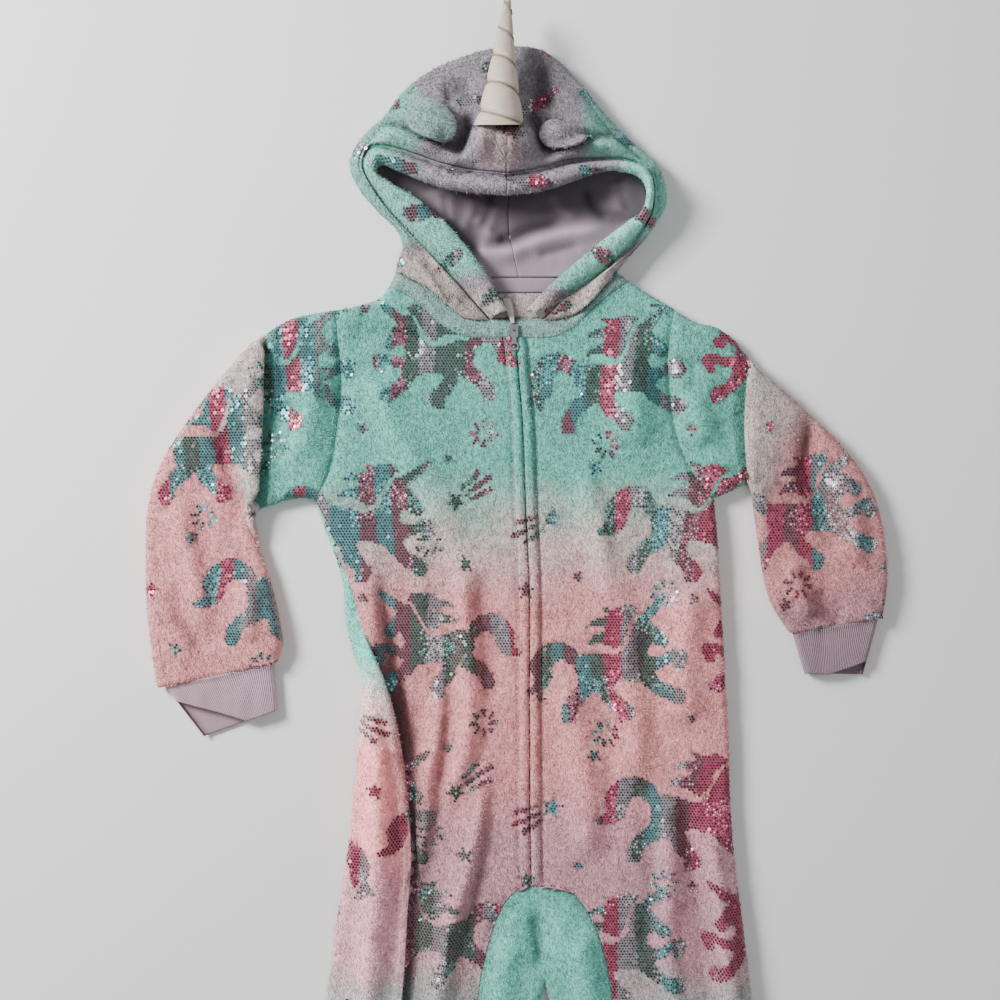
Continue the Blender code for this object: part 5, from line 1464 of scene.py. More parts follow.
        height = np.maximum(height, np.where(inset < 0.01, LIE.middle, 7.6))
        height[:, -1] = LIE.middle
        cloth = plan * (-1, 1) + (168.0, 168.0)
        paler = np.interp(-plan[..., 1], (-200, -70, -30, 20, 60, 200),
                          (0.06, 0.17, 0.13, 0.12, 0.08, 0))
        return raised(plan, height), cloth, tone_at(plan[..., 1]) - paler

    def make(self) -> list[Skin]:
        """Builds all four panels and returns where they can take print."""
        fronts = (
            self.front("front_panel_left", SIDE_SEAM_LEFT, ARMHOLE_LEFT, SHOULDER_LEFT,
                       GUSSET_SEAM_LEFT, NECK_LOWER_LEFT, False),
            self.front("front_panel_right", SIDE_RIGHT, ARMHOLE_RIGHT, SHOULDER_RIGHT,
                       GUSSET_SEAM_RIGHT, NECK_LOWER_RIGHT, True),
        )
        backs = (
            self.back("back_panel_left", SIDE_LEFT, ARMHOLE_LEFT, SHOULDER_LEFT, LEG_INNER_LEFT,
                      NECK_BACK_LEFT, SIDE_SEAM_LEFT),
            self.back("back_panel_right", SIDE_RIGHT, ARMHOLE_RIGHT, SHOULDER_RIGHT,
                      LEG_INNER_RIGHT, NECK_BACK_RIGHT, None),
        )
        skins = []
        for (mesh, skin), node, cut in zip(fronts, ("front_left", "front_right"), FRONT_CUTS):
            thing = mesh.build(self.fleece, self.wall, face=1)
            declare(thing, cut, (node,))
            skins.append(skin)
        for (mesh, more), node, cut in zip(backs, ("back_left", "back_right"), BACK_CUTS):
            thing = mesh.build(self.fleece, self.wall, face=-1, weld=True)
            declare(thing, cut, (node,))
            skins += more
        return skins


FRONT_CUTS = (Cut(185, 905), Cut(215, 905))
BACK_CUTS = (Cut(235, 910), Cut(215, 905))


@dataclass(frozen=True)
class Gusset:
    """The strip between the legs' inner sides: an upside-down U with a dome at its top."""

    fleece: bpy.types.Material
    rows: int = 104
    wall: float = 3.0
    cut: Cut = Cut(70, 780)

    def make(self) -> Skin:
        """Builds it, its outer edge under the fronts' seams."""
        outer = joined((GUSSET_SEAM_LEFT[::-1], self.rows), (GUSSET_SEAM_RIGHT, self.rows))
        inner = joined((LEG_INNER_LEFT[::-1], self.rows), (LEG_INNER_RIGHT, self.rows))
        length = np.linalg.norm(inner - outer, axis=1)[:, None]
        roll_end = 1 - ROLLED[::-1] / np.maximum(length, 14.0)
        first = np.array([-2.8, -2.7, -2.1, -1.0, 0.4, 2.0, 4.0]) / length
        middle = first[:, -1:] + (roll_end[:, :1] - first[:, -1:]) * np.linspace(0, 1, 16)[1:-1]
        share = np.hstack([first, middle, roll_end])
        plan = outer[:, None] + (inner - outer)[:, None] * share[..., None]
        height = LIE.top(plan)
        height[:, :7] += np.array([-4.6, -4.3, -3.6, -2.4, -1.0, 0.2, 0.5])
        height[:, -1] = LIE.middle
        mesh = Mesh("gusset_panel")
        around = np.linspace(-390, 390, len(outer))[:, None]
        flat = np.stack([share * length, np.broadcast_to(around, share.shape)], -1)
        tone = np.clip((-150 - plan[..., 1]) / 900 + 0.66, 0.62, 0.9)
        # Painted fold shade, lightened overall, and painted shade along the outer edge where it runs
        # in under the fronts.
        shade = 1.12 * painted_fold_shade(plan)
        shade *= 1 - 0.35 * np.exp(-((share * length / 5.0) ** 2))
        mesh.grid(raised(plan, height), flat, tone, shade=shade)
        thing = mesh.build(self.fleece, self.wall, face=1, weld=True)
        declare(thing, self.cut, ("crotch_gusset",))
        return Skin(raised(plan, height)[:, 2:], plan[:, 2:], tone[:, 2:], shade[:, 2:],
                    foil=Foil.NONE)


# The elbow's fold in section: along the sleeve from the fold line, and height.
ELBOW = np.array([
    (-14, -0.4), (-9, -1.6), (-4, -2.8), (0, -3.5), (3, -3.7), (4.6, -2.9), (4.3, -1.2),
    (2.4, 0.6), (-0.6, 2.0), (-3.2, 3.6), (-4.6, 5.5), (-4.0, 7.4), (-1.6, 8.7), (2.6, 9.2),
    (8, 8.6), (14, 7.4),
])


@dataclass(frozen=True)
class Sleeve:
    """A flattened tube whose forearm lies over the upper arm at the elbow.

    Rings run straight between the table's outer and inner edges. A ring is a flat top and a
    flat bottom joined by quarter circles. Near the elbow the top layer's rings follow the
    folded section, so that the forearm's edge stands over the upper arm.
    """

    name: str
    node: str
    rings: tuple[Ring, ...]
    armhole: Line
    fold_row: float
    shift: float
    cut: Cut
    dim: float = 0.0
    lilac: float = 0.06
    step: float = 3.0
    across: int = 44
    wall: float = 3.0

    def make(self, fleece: bpy.types.Material) -> list[Skin]:
        """Builds it and returns its top as upper arm and forearm."""
        table = np.array([(r.outer_x, r.outer_y, r.inner_x, r.inner_y) for r in self.rings], float)
        base = spread(table, 400)
        middle = (base[:, :2] + base[:, 2:]) / 2
        along = run_length(middle)
        fold = np.interp(self.fold_row, np.arange(len(table)),
                         np.interp(np.linspace(0, 399, len(table)), np.arange(400), along))
        near = fold + ELBOW[0, 0], fold + ELBOW[-1, 0]
        before = np.linspace(0, near[0], int(near[0] / self.step) + 1)[:-1]
        after = np.linspace(near[1], along[-1], int((along[-1] - near[1]) / self.step) + 1)[1:]
        fine = np.linspace(0, 15, 31)
        lobe = np.stack([np.interp(fine, np.arange(16), axis) for axis in ELBOW.T])
        lobe = np.stack([np.convolve(np.pad(a, 1, "edge"), (0.25, 0.5, 0.25), "valid") for a in lobe])
        under = np.concatenate([before, np.linspace(*near, 31), after])
        over = np.concatenate([before, fold + lobe[0], after])
        rises = np.array([r.rise for r in self.rings], float)
        ring_at = np.interp(np.arange(len(table)), np.linspace(0, len(table) - 1, 400), along)
        split = int(self.fold_row) + 1
        plain_rise = np.concatenate([
            np.interp(before, np.append(ring_at[: split - 1], near[0]),
                      np.append(rises[: split - 1], ELBOW[0, 1])),
            lobe[1],
            np.interp(after, np.append(near[1], ring_at[split + 2:]),
                      np.append(ELBOW[-1, 1], rises[split + 2:])),
        ])
        width = np.linalg.norm(base[:, 2:] - base[:, :2], axis=1)
        edge = ROLLED / np.median(width)
        even = np.linspace(edge[-1], 1 - edge[-1], self.across - 12)
        top = np.concatenate([edge[:-1], even, 1 - edge[-2::-1]])
        share = np.concatenate([top, 1 - top[1:-1]])
        is_top = np.arange(len(share)) < len(top)
        weight = np.where(is_top, smoothstep(np.minimum(share, 1 - share), 0.0, 0.11), 0.0)
        at = under[:, None] + (over - under)[:, None] * weight
        ends = np.stack([np.interp(at, along, axis) for axis in base.T], -1)
        spot = ends[..., :2] + (ends[..., 2:] - ends[..., :2]) * share[:, None]
        hole = smooth_line(self.armhole, 60)
        bend = along_line(hole, share) - (hole[0] + (hole[-1] - hole[0]) * share[:, None])
        spot += bend * (1 - at / 62.0).clip(0, 1)[..., None]
        rolled, _ = LIE.roll(spot)
        height = np.where(is_top, LIE.top(spot) + plain_rise[:, None] * rolled, LIE.floor(spot))
        grid = raised(spot, height)
        turn = len(before) + 10
        forearm = (np.arange(len(grid)) >= turn)[:, None]
        flat = spot + np.where(forearm, self.shift, 0.0)[..., None]
        dyed = 0.195 + 0.08 * smoothstep(at, fold + 18.0, fold + 72.0)
        dyed = dyed + self.lilac * smoothstep(at, along[-1] - 90.0, along[-1] - 10.0)
        tone = np.where(forearm, dyed, 0.05)
        # Painted fold shade on the top, and a painted shadow on the upper arm beside the forearm's
        # edge at the elbow.
        shade = np.where(is_top, painted_fold_shade(spot) * inked(flat), 1.0)
        shade = shade * (1 - np.where(is_top & ~forearm, 0.5, 0.0) * np.exp(
            -(((at - fold) / 14.0) ** 2)))
        shade = shade * (1 - self.dim * smoothstep(at, fold, fold + 40.0))
        mesh = Mesh(self.name)
        mesh.grid(grid, flat, tone, around=True, shade=shade)
        thing = mesh.build(fleece, self.wall)
        outward(thing)
        declare(thing, self.cut, (self.node,))
        shown = [a[:, : len(top)] for a in (grid, flat, np.broadcast_to(tone, shade.shape), shade)]
        return [Skin(*(a[: turn + 1] for a in shown)), Skin(*(a[turn:] for a in shown))]


@dataclass(frozen=True)
class Cuff:
    """A flattened tube of ribbing from its seam to its open end, slightly gathered."""

    name: str
    node: str
    seam_outer: tuple[float, float]
    seam_inner: tuple[float, float]
    end_outer: tuple[float, float]
    end_inner: tuple[float, float]
    front_short: float
    cut: Cut
    light: float = 1.0
    radius: float = 5.5
    rows: int = 26

    def make(self, rib: bpy.types.Material) -> bpy.types.Object:
        """Builds the tube with rib furrows and soft waves."""
        a, b, c, d = (np.array(p, float) for p in
                      (self.seam_outer, self.seam_inner, self.end_outer, self.end_inner))
        edge = self.radius * (1 - np.cos(np.linspace(0, math.pi / 2, 8))) / np.linalg.norm(b - a)
        top = np.concatenate([edge, np.linspace(edge[-1], 1 - edge[-1], 60)[1:-1], 1 - edge[::-1]])
        share = np.concatenate([top, 1 - top[1:-1]])
        is_top = np.arange(len(share)) < len(top)
        t = np.linspace(0, 1, self.rows)[:, None]
        short = np.where(is_top, self.front_short * np.clip(1 - share / 0.6, 0, 1), 0.0)
        start, stop = a + (b - a) * share[:, None], c + (d - c) * share[:, None]
        spot = start + (stop - start) * (t * (1 - short))[..., None]
        inside = np.minimum(share, 1 - share) * np.linalg.norm(
            (b + (d - b) * t) - (a + (c - a) * t), axis=1)[:, None]
        part = np.clip(inside / self.radius, 0, 1)
        rolled = np.sqrt(1 - (1 - part) ** 2)
        lift = np.where(is_top, 1.0, -1.0) * rolled * (self.radius - 0.6)
        wave = 0.7 * noise(np.stack(np.broadcast_arrays(spot[..., 0], spot[..., 1] * 0.35), -1), 9, 8)
        height = self.radius + lift + np.where(is_top, wave * rolled, 0.0)
        height = np.maximum(height, 0.3)
        height += np.where(is_top, 1.3 * np.exp(-((t - 0.02) / 0.06) ** 2) * rolled, 0.0)
        width = np.linalg.norm(b - a)
        length = np.linalg.norm((c + d - a - b) / 2)
        flat = np.stack(np.broadcast_arrays(
            np.where(is_top, share, 2 - share) * width, t * length), -1)
        mesh = Mesh(self.name)
        mesh.grid(raised(spot, height), flat, 0.5, around=True, shade=self.light)
        thing = mesh.build(rib, 1.8)
        outward(thing)
        declare(thing, self.cut, (self.node,))
        return thing


@dataclass(frozen=True)
class Neckband:
    """Half of the band round the neck: along the front, round the side and along the back."""

    name: str
    node: str
    lower: Line
    upper: Line
    back: tuple[Line, Line]
    cut: Cut
    puff: float = 1.9

    def make(self, fleece: bpy.types.Material) -> Skin:
        """Builds it as rows along the neck and columns across the band."""
        columns = np.append(np.linspace(0.0, 1.0, 12), 1.2)
        grids = []
        for on_top in (True, False):
            low = smooth_line(self.lower if on_top else self.back[0], 90)
            high = smooth_line(self.upper if on_top else self.back[1], 90)
            length = np.linalg.norm(np.diff(low, axis=0), axis=1).sum()
            end = (0.9 if on_top else 0.15) / length
            share = np.concatenate([ROLLED / length, np.linspace(7.0 / length, 1 - end, 40)[1:]])
            share = share[::-1] if on_top else share[1:]
            first, last = along_line(low, share), along_line(high, share)
            plan = first[:, None] + (last - first)[:, None] * columns[:, None]
            puff = self.puff * np.sin(np.pi * columns.clip(0, 1)) ** 0.7 * LIE.roll(plan)[0]
            puff = puff - (3.0 if on_top else 0.0) * (columns > 1)
            grids.append(raised(plan, LIE.top(plan) + puff if on_top else LIE.floor(plan)))
        grid = np.concatenate(grids)
        flat = np.stack([arcs(grid, 0).mean(1)[:, None] + 0 * columns, arcs(grid, 1)], -1)
        mesh = Mesh(self.name)
        mesh.grid(grid, flat, 0.75)
        thing = mesh.build(fleece, 2.6, face=1)
        declare(thing, self.cut, (self.node,))
        top = grids[0]
        even = np.ones(top.shape[:2])
        return Skin(top, top[..., :2], 0.75 * even, even, foil=Foil.NONE)


# ---------------------------------------------------------------- hood
RIM_SECTION = np.array([
    (0.00, 0.10), (0.03, 0.42), (0.12, 0.68), (0.26, 0.87), (0.42, 0.97), (0.60, 1.00),
    (0.78, 0.985), (0.90, 0.93), (0.97, 0.86), (1.00, 0.78), (0.97, 0.70), (0.88, 0.64),
    (0.74, 0.60),
])
LINING_SEAM = ((2, 388), (-2, 405), (-6, 425), (-7, 450), (-6, 480))
LINING_EDGE_LEFT = ((-32, 388), (-58, 410), (-88, 438), (-112, 456), (-122, 468), (-116, 482))
LINING_EDGE_RIGHT = ((40, 388), (66, 402), (92, 420), (107, 436), (112, 454), (104, 476))
# A line, x values then y values, beyond which the lining takes the painted shadow under the brow.
LINING_RIDGE = ((-60, -36, -6, 18, 45, 95), (403, 405, 408, 417, 425, 429))
LINING_FOLDS = (
    Fold(8.5, 9, ((-40, 400), (-24, 408), (-6, 409), (18, 418), (45, 425), (84, 430))),
    Fold(4.0, 12, ((-60, 430), (-62, 450), (-66, 466))),
    Fold(3.5, 10, ((84, 440), (88, 456), (84, 470))),
    Fold(-4.0, 5.0, ((-30, 414), (-10, 418), (12, 428), (40, 435))),
    Fold(3.0, 5.0, ((-34, 440), (-26, 426), (-12, 418))),
    Fold(-1.6, 3.0, ((-61, 462), (-60, 446), (-57, 425))),
    Fold(-1.6, 3.0, ((86, 474), (89, 456), (97, 440))),
    Fold(2.5, 6.0, ((-30, 402), (-24, 430), (-22, 455))),
    Fold(-1.8, 4.0, ((18, 405), (34, 409), (56, 414))),
    Fold(-3.0, 4.0, ((-22, 462), (-24, 442), (-32, 424))),
    Fold(2.4, 5.0, ((-38, 458), (-40, 440), (-48, 426))),
    Fold(-2.6, 4.0, ((58, 464), (64, 448), (78, 436))),
    Fold(2.2, 5.0, ((28, 460), (36, 446), (52, 438))),
)


@dataclass(frozen=True)
class Half:
    """One half of the hood with what names it."""

    side: int
    word: str
    ribs: tuple[Rib, ...]
    neck: Line
    back: tuple[Line, Line]
    lining: Line


@dataclass(frozen=True)
class Hood:
    """The hood lying on its back with its opening up: two crowns, rims and linings.

    A crown is drawn by ribs from the rim's groove over the top, round a curved edge and
    under. Height along a rib goes from the groove's to twice the edge's radius as the 1.5th
    power, plus a half-sine rise and the folds. A rim is a rolled section along the ribs.
    """

    fleece: bpy.types.Material
    rim_fleece: bpy.types.Material
    jersey: bpy.types.Material
    lengthways: int = 150
    radius: float = 9.0
    shift: tuple[float, float] = (-31.0, 98.0)
    halves: tuple[Half, ...] = (
        Half(-1, "left", HOOD_LEFT, NECK_UPPER_LEFT, BACK_NECK_LEFT, LINING_EDGE_LEFT),
        Half(1, "right", HOOD_RIGHT, NECK_UPPER_RIGHT, BACK_NECK_RIGHT, LINING_EDGE_RIGHT),
    )

    def table(self, half: Half) -> Array:
        """The ribs' numbers, smoothly filled in between."""
        rows = [[r.inner_x, r.inner_y, r.crest, r.groove_x, r.groove_y, r.groove_z, r.rise,
                 r.edge_x, r.edge_y, r.back_y] for r in half.ribs]
        return spread(rows, self.lengthways)

    @staticmethod
    def skirt(plan: Array) -> Array:
        """Height of the plush gathered up to the horn's base: a steep-sided pleated mound."""
        x, y = plan[..., 0] + 14.0 + 0.05 * (plan[..., 1] - 500), plan[..., 1]
        rise = smoothstep(y, 472.0, 500.0) * (1 - smoothstep(y, 504.0, 511.0))
        pleats = 0.9 * np.sin(x * 0.8 + 0.04 * y) * np.exp(-((x / 18.0) ** 2))
        return rise * (12.5 * np.exp(-((np.abs(x) / (31 - 0.22 * (y - 475))) ** 6)) + pleats)

    def crown(self, half: Half, skirt: bool = True) -> tuple[Array, int]:
        """A crown's outer grid and how many of its columns lie on top."""
        rib = self.table(half)
        groove, edge = rib[:, 3:5], rib[:, 7:9]
        back = np.stack([np.full(len(rib), HOOD_SEAM_X), rib[:, 9]], 1)
        size = np.linalg.norm(edge - groove, axis=1)[:, None]
        way = (edge - groove) / size
        run = np.maximum(size - self.radius, 2.5)
        curve = size - run
        t = np.concatenate([[0.0, 0.012, 0.03, 0.055], np.linspace(0.09, 1.0, 26)])
        plan = groove[:, None] + way[:, None] * (run * t)[..., None]
        height = rib[:, 5:6] + (2 * self.radius - rib[:, 5:6]) * t**1.5
        height = height + rib[:, 6:7] * np.sin(np.pi * t)
        height = height + folded(plan, CROWN_FOLDS + CROWN_CREASES) * (1 - t**3)
        height += (0.9 * noise(plan, 33, 12) + 0.6 * noise(plan, 14, 13)) * np.sin(np.pi * t) ** 0.5
        if skirt:
            height += self.skirt(plan)
        height[:, :4] -= np.array([5.0, 2.2, 0.9, 0.2])
        top = raised(plan, height)
        turn = np.radians(np.linspace(0, 165, 14)[1:])
        start = groove + way * run
        arc = raised(start[:, None] + way[:, None] * (curve * np.sin(turn))[..., None],
                     self.radius * (1 + np.cos(turn)))
        share = np.linspace(0, 1, 9)
        under = raised(start[:, None] + (back - start)[:, None] * share[:, None], 0.0)
        grid = np.concatenate([top, arc, under], 1)
        count = top.shape[1]
        seam = self.side_gap(grid, half.side)
        bend = self.along_x(half.neck, seam[0, :count, 0]) - seam[0, :count, 1]
        low = np.maximum(self.along_x(half.back[1], seam[0, count:, 0]) - seam[0, count:, 1], 0)
        fade = 1 - smoothstep(np.arange(len(seam)), 0, 2.2 * self.lengthways / 12)[:, None]
        seam[:, :count, 1] += bend * fade
        seam[:, count:, 1] += low * fade**3
        seam[0, :, 1] += 0.4
        seam[:5, :count, 2] -= np.array([3.4, 1.8, 0.8, 0.3, 0.1])[:, None]
        return seam, count

    def side_gap(self, grid: Array, side: int) -> Array:
        """Sets the last rib and the back seam just off the middle."""
        grid[-1, :, 0] += side * 0.06
        grid[:-1, -1, 0] += side * 0.25
        return grid

    @staticmethod
    def along_x(line: Line, x: Array) -> Array:
        """The y of a smooth line at each x."""
        points = smooth_line(line, 60)
        points = points[np.argsort(points[:, 0])]
        return np.interp(x, points[:, 0], points[:, 1])

    def rim(self, half: Half) -> Array:
        """A rim's outer grid."""
        rib = self.table(half)
        section = spread(RIM_SECTION, 34)
        inner, groove = rib[:, :2], rib[:, 3:5]
        inward = unit(inner - groove)
        start = groove + inward * 0.7
        spot = start[:, None] + (inner - start)[:, None] * section[:, :1]
        height = rib[:, 2:3] * section[:, 1]
        climb = smoothstep(section[:, 0], 0.0, 0.16) * (np.arange(34) < 15) + (np.arange(34) >= 15)
        foot = rib[:, 5:6] - 3.5
        height = np.where(climb < 1, foot + (height - foot) * climb, height)
        lump = 0.9 * noise(spot, 17, 21) + 0.5 * noise(spot, 7, 22)
        height = height + lump * smoothstep(section[:, 1], 0.8, 0.97)
        grid = raised(spot, height)
        grid[-1, :, 0] += half.side * 0.05
        return grid

    def lining(self, half: Half) -> Array:
        """A lining's outer grid."""
        rows = 60
        outer = smooth_line(half.lining, rows)
        seam = smooth_line(LINING_SEAM, rows) + (half.side * 0.05, 0)
        across = np.repeat(np.concatenate([[0, 0.03, 0.07], np.linspace(0.11, 0.98, 34), [1.0]])[None],
                           rows, 0)
        plan = coons(outer, seam, smooth_line((outer[0], seam[0]), 30),
                     smooth_line((outer[-1], seam[-1]), 30), across)
        up = np.linspace(0, 1, rows)[:, None]
        lift = 7.0 * (1 - across) ** 4 * (0.3 + 0.7 * up) + 9.0 * up**6
        fade = smoothstep(1 - across, 0.0, 0.05)
        uneven = 0.7 * noise(plan, 21, 31) + 0.35 * noise(plan, 9, 32)
        fine = folded(plan, LINING_FOLDS) + uneven * fade
        height = 5.0 + lift + np.maximum(fine, -1.6) - 0.5 * (1 - fade)
        return raised(plan, height)

    def make(self) -> tuple[list[Skin], list[Array]]:
        """Builds the six pieces; returns their skins and the crowns' grids without the skirt."""
        skins, plains = [], []
        for half in self.halves:
            grid, count = self.crown(half)
            t = np.linspace(0, 1, len(grid))[:, None]
            flat, tone = grid[..., :2] + self.shift, self.tone(grid)
            # Painted shade in the troughs and painted light on the ridges, painted shade where the
            # crown lies low, and painted light on its right outer strip, which faces away from the key
            # light.
            shade = np.clip(1 + 0.035 * folded(grid[..., :2], CROWN_FOLDS)
                            + 0.11 * folded(grid[..., :2], CROWN_CREASES), 0.45, 1.12)
            shade *= 0.8 + 0.2 * smoothstep(grid[..., 2], 10.0, 28.0)
            shade *= 1 + 0.42 * smoothstep(grid[..., 0], 88.0, 118.0)
            # A painted shadow on the crown round each ear.
            for x, y, half_length, half_width, turn in EAR_PLACES:
                local = turned((grid[..., :2] - (x, y - 2)).reshape(-1, 2), -turn)
                size = np.linalg.norm(local / (half_length, half_width), axis=1)
                shade *= 1 - 0.42 * np.exp(-(((size - 1) / 0.26) ** 2)).reshape(shade.shape)
            skin = Skin(grid, flat, tone, shade, foil=Foil.PATCHES)
            shade = shade * np.where(skin.inked(grid, flat), 0.5, 1.0)
            mesh = Mesh("hood_crown_" + half.word)
            mesh.grid(grid, flat, tone, shade=shade)
            thing = mesh.build(self.fleece, 3.0, face=1)
            declare(thing, CROWN_CUT, ("hood_" + half.word,))
            skins.append(Skin(*(a[:, 3 : count + 8] for a in (grid, flat, tone, shade)),
                              foil=Foil.PATCHES))
            plains.append(self.crown(half, False)[0])
            grid = self.rim(half)
            flat = grid[..., :2] + self.shift
            tone = 0.2 + 0.62 * smoothstep(t, 0.03, 0.14) * (1 - smoothstep(t, 0.62, 0.8)) + 0.36 * (
                smoothstep(t, 0.62, 0.8)) + 0 * grid[..., 0]
            skin = Skin(grid, flat, tone, tone, foil=Foil.PATCHES)
            # Painted light: the rim is lightened all along, its right side most, where it faces away
            # from the key light.
            rim_painted_light = 1.2 + 0.62 * smoothstep(grid[..., 0], 55.0, 105.0)
            shade = rim_painted_light * np.where(skin.inked(grid, flat), 0.5, 1.0)
            mesh = Mesh("hood_roll_" + half.word)
            mesh.grid(grid, flat, tone, shade=shade)
            thing = mesh.build(self.rim_fleece, 2.4, face=1)
            declare(thing, RIM_CUT, ("hood_rim_" + half.word,))
            skins.append(Skin(*(a[:, 3:26] for a in (grid, flat, tone, shade)),
                              foil=Foil.PATCHES))
            grid = self.lining(half)
            mesh = Mesh("hood_inside_" + half.word)
            # Painted shadow under the brow, beyond the line, and painted shade and light on the
            # lining's folds.
            ridge = np.interp(grid[..., 0], *LINING_RIDGE)
            brow_shadow = smoothstep(grid[..., 1] - ridge, -4.0, 9.0)
            light = 0.98 - 0.66 * brow_shadow + 0.07 * folded(grid[..., :2], LINING_FOLDS)
            mesh.grid(grid, shade=light)
            thing = mesh.build(self.jersey, 1.2, face=1)
            declare(thing, LINING_CUT, ("hood_lining_" + half.word,))
        return skins, plains

    @staticmethod
    def tone(grid: Array) -> Array:
        """Beige by the neck, mint at the sides, lilac grey over most of the crown."""
        x, y = grid[..., 0] + 8, grid[..., 1]
        low = smoothstep(y, 392.0, 425.0)
        left = smoothstep(-x, 62.0, 88.0) * (1 - smoothstep(y - 0.3 * x, 560, 590))
        right = 0.8 * smoothstep(x, 50.0, 76.0)
        mound = np.exp(-(((x + 6) / 24) ** 4) - ((y - 488) / 26) ** 4)
        return 0.15 + 0.4 * low + 0.33 * low * np.maximum(left, right) - 0.16 * mound


CROWN_CUT = Cut(215, 330)
RIM_CUT = Cut(62, 250)
LINING_CUT = Cut(135, 115)


def strip(name: str, corners: Line, top: float, material: bpy.types.Material, wall: float,
          tone: float = 0.1) -> tuple[bpy.types.Object, Skin]:
    """A flat strip of cloth between two opposite corners, a little wavy, and its skin."""
    (x0, y0), (x1, y1) = corners
    plan = np.stack(np.meshgrid(np.linspace(x0, x1, 40), np.linspace(y0, y1, 14)), -1)
    edge = np.minimum(np.abs(plan[..., 1] - y0), np.abs(plan[..., 1] - y1))
    height = top + 0.5 * noise(plan, 12, 41) - 0.9 * np.exp(-edge / 1.2)
    mesh = Mesh(name)
    grid, even = raised(plan, height), np.ones(height.shape)
    mesh.grid(grid, None, tone)
    return mesh.build(material, wall, face=1), Skin(grid, plan, tone * even, even, foil=Foil.NONE)


class Ground:
    """Heights of finished pieces from above, by a grid of the highest point in each cell."""

    def __init__(self, grids: Sequence[Array], cell: float = 3.0) -> None:
        """Takes the pieces' outer points and fills cells without any from their neighbours."""
        points = np.vstack([g.reshape(-1, 3) for g in grids])
        self.cell, self.low = cell, points[:, :2].min(0) - 2 * cell
        index = ((points[:, :2] - self.low) / cell).astype(int)
        self.height = np.full(index.max(0) + 4, -np.inf)
        np.maximum.at(self.height, (index[:, 0], index[:, 1]), points[:, 2])
        for _ in range(3):
            empty = ~np.isfinite(self.height)
            near = np.stack([np.roll(self.height, s, a) for s in (1, -1) for a in (0, 1)])
            count = np.isfinite(near).sum(0)
            fill = np.where(np.isfinite(near), near, 0).sum(0) / np.maximum(count, 1)
            self.height[empty & (count > 0)] = fill[empty & (count > 0)]
        self.height[~np.isfinite(self.height)] = 0.0

    def at(self, x: Array, y: Array) -> Array:
        """The height at each spot, blended between cells."""
        gx, gy = (x - self.low[0]) / self.cell - 0.5, (y - self.low[1]) / self.cell - 0.5
        ix = np.clip(gx.astype(int), 0, self.height.shape[0] - 2)
        iy = np.clip(gy.astype(int), 0, self.height.shape[1] - 2)
        fx, fy = np.clip(gx - ix, 0, 1), np.clip(gy - iy, 0, 1)
        h = self.height
        return ((h[ix, iy] * (1 - fx) + h[ix + 1, iy] * fx) * (1 - fy)
                + (h[ix, iy + 1] * (1 - fx) + h[ix + 1, iy + 1] * fx) * fy)


def closed_grid(mesh: Mesh, grid: Array, cloth: Array, tone: float = 0.0) -> None:
    """Adds a tube of rings (rings, points, 3) closed by a point at each end."""
    rings, sides = grid.shape[:2]
    first = mesh.grid(grid, cloth, tone, around=True)
    for ring, turn in ((0, -1), (rings - 1, 1)):
        tip = mesh.add(grid[ring].mean(0)[None], np.empty((0, 4), int), cloth[ring].mean(0)[None],
                       tone)
        k = np.arange(sides)
        a, b = first + ring * sides + k, first + ring * sides + (k + 1) % sides
        tri = np.stack([a, b, np.full(sides, tip), np.full(sides, tip)], -1)
        mesh.faces.append(tri if turn > 0 else tri[:, [1, 0, 2, 3]])


@dataclass(frozen=True)
class Ear:
    """A stuffed oval ear that lies on the crown and takes its slope.

    A point on the sphere (cos a · cos b, sin a · cos b, sin b) is stretched to the oval's
    half sizes, pinched towards its tip, and lifted by the crown's height.
    """

    name: str
    node: str
    x: float
    y: float
    half_length: float
    half_width: float
    turn: float
    tone: float
    thickness: float = 17.0

    def make(self, fleece: bpy.types.Material, ground: Ground) -> Skin:
        """Builds it with a soft dent along its inner side."""
        around = np.linspace(0, 2 * math.pi, 57)[:-1]
        up = np.linspace(-math.pi / 2, math.pi / 2, 30)[1:-1, None]
        x, y, z = np.cos(around) * np.cos(up), np.sin(around) * np.cos(up), np.sin(up) + 0 * around
        x, y, z = (np.sign(a) * np.abs(a) ** 0.92 for a in (x, y, z))
        y = y * (1 - 0.16 * x)
        a = math.radians(self.turn)
        px, py = x * self.half_length, y * self.half_width
        spot_x = self.x + px * math.cos(a) - py * math.sin(a)
        spot_y = self.y + px * math.sin(a) + py * math.cos(a)
        dent = 1.8 * np.exp(-((y / 0.34) ** 2) - (((x - 0.05) / 0.62) ** 2)) * (z > 0)
        lump = 0.5 * noise(np.stack([spot_x, spot_y], -1), 8, 51)
        height = ground.at(spot_x, spot_y) + 0.8 + self.thickness * (z + 1) / 2 - dent
        grid = np.stack([spot_x, spot_y, height + lump * (z > 0)], -1)
        mesh = Mesh(self.name)
        closed_grid(mesh, grid, grid[..., :2], self.tone)
        thing = mesh.build(fleece, weld=True)
        outward(thing)
        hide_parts(self.node)
        even = np.ones(grid[13:].shape[:2])
        return Skin(grid[13:], grid[13:, :, :2], self.tone * even, even, foil=Foil.NONE)


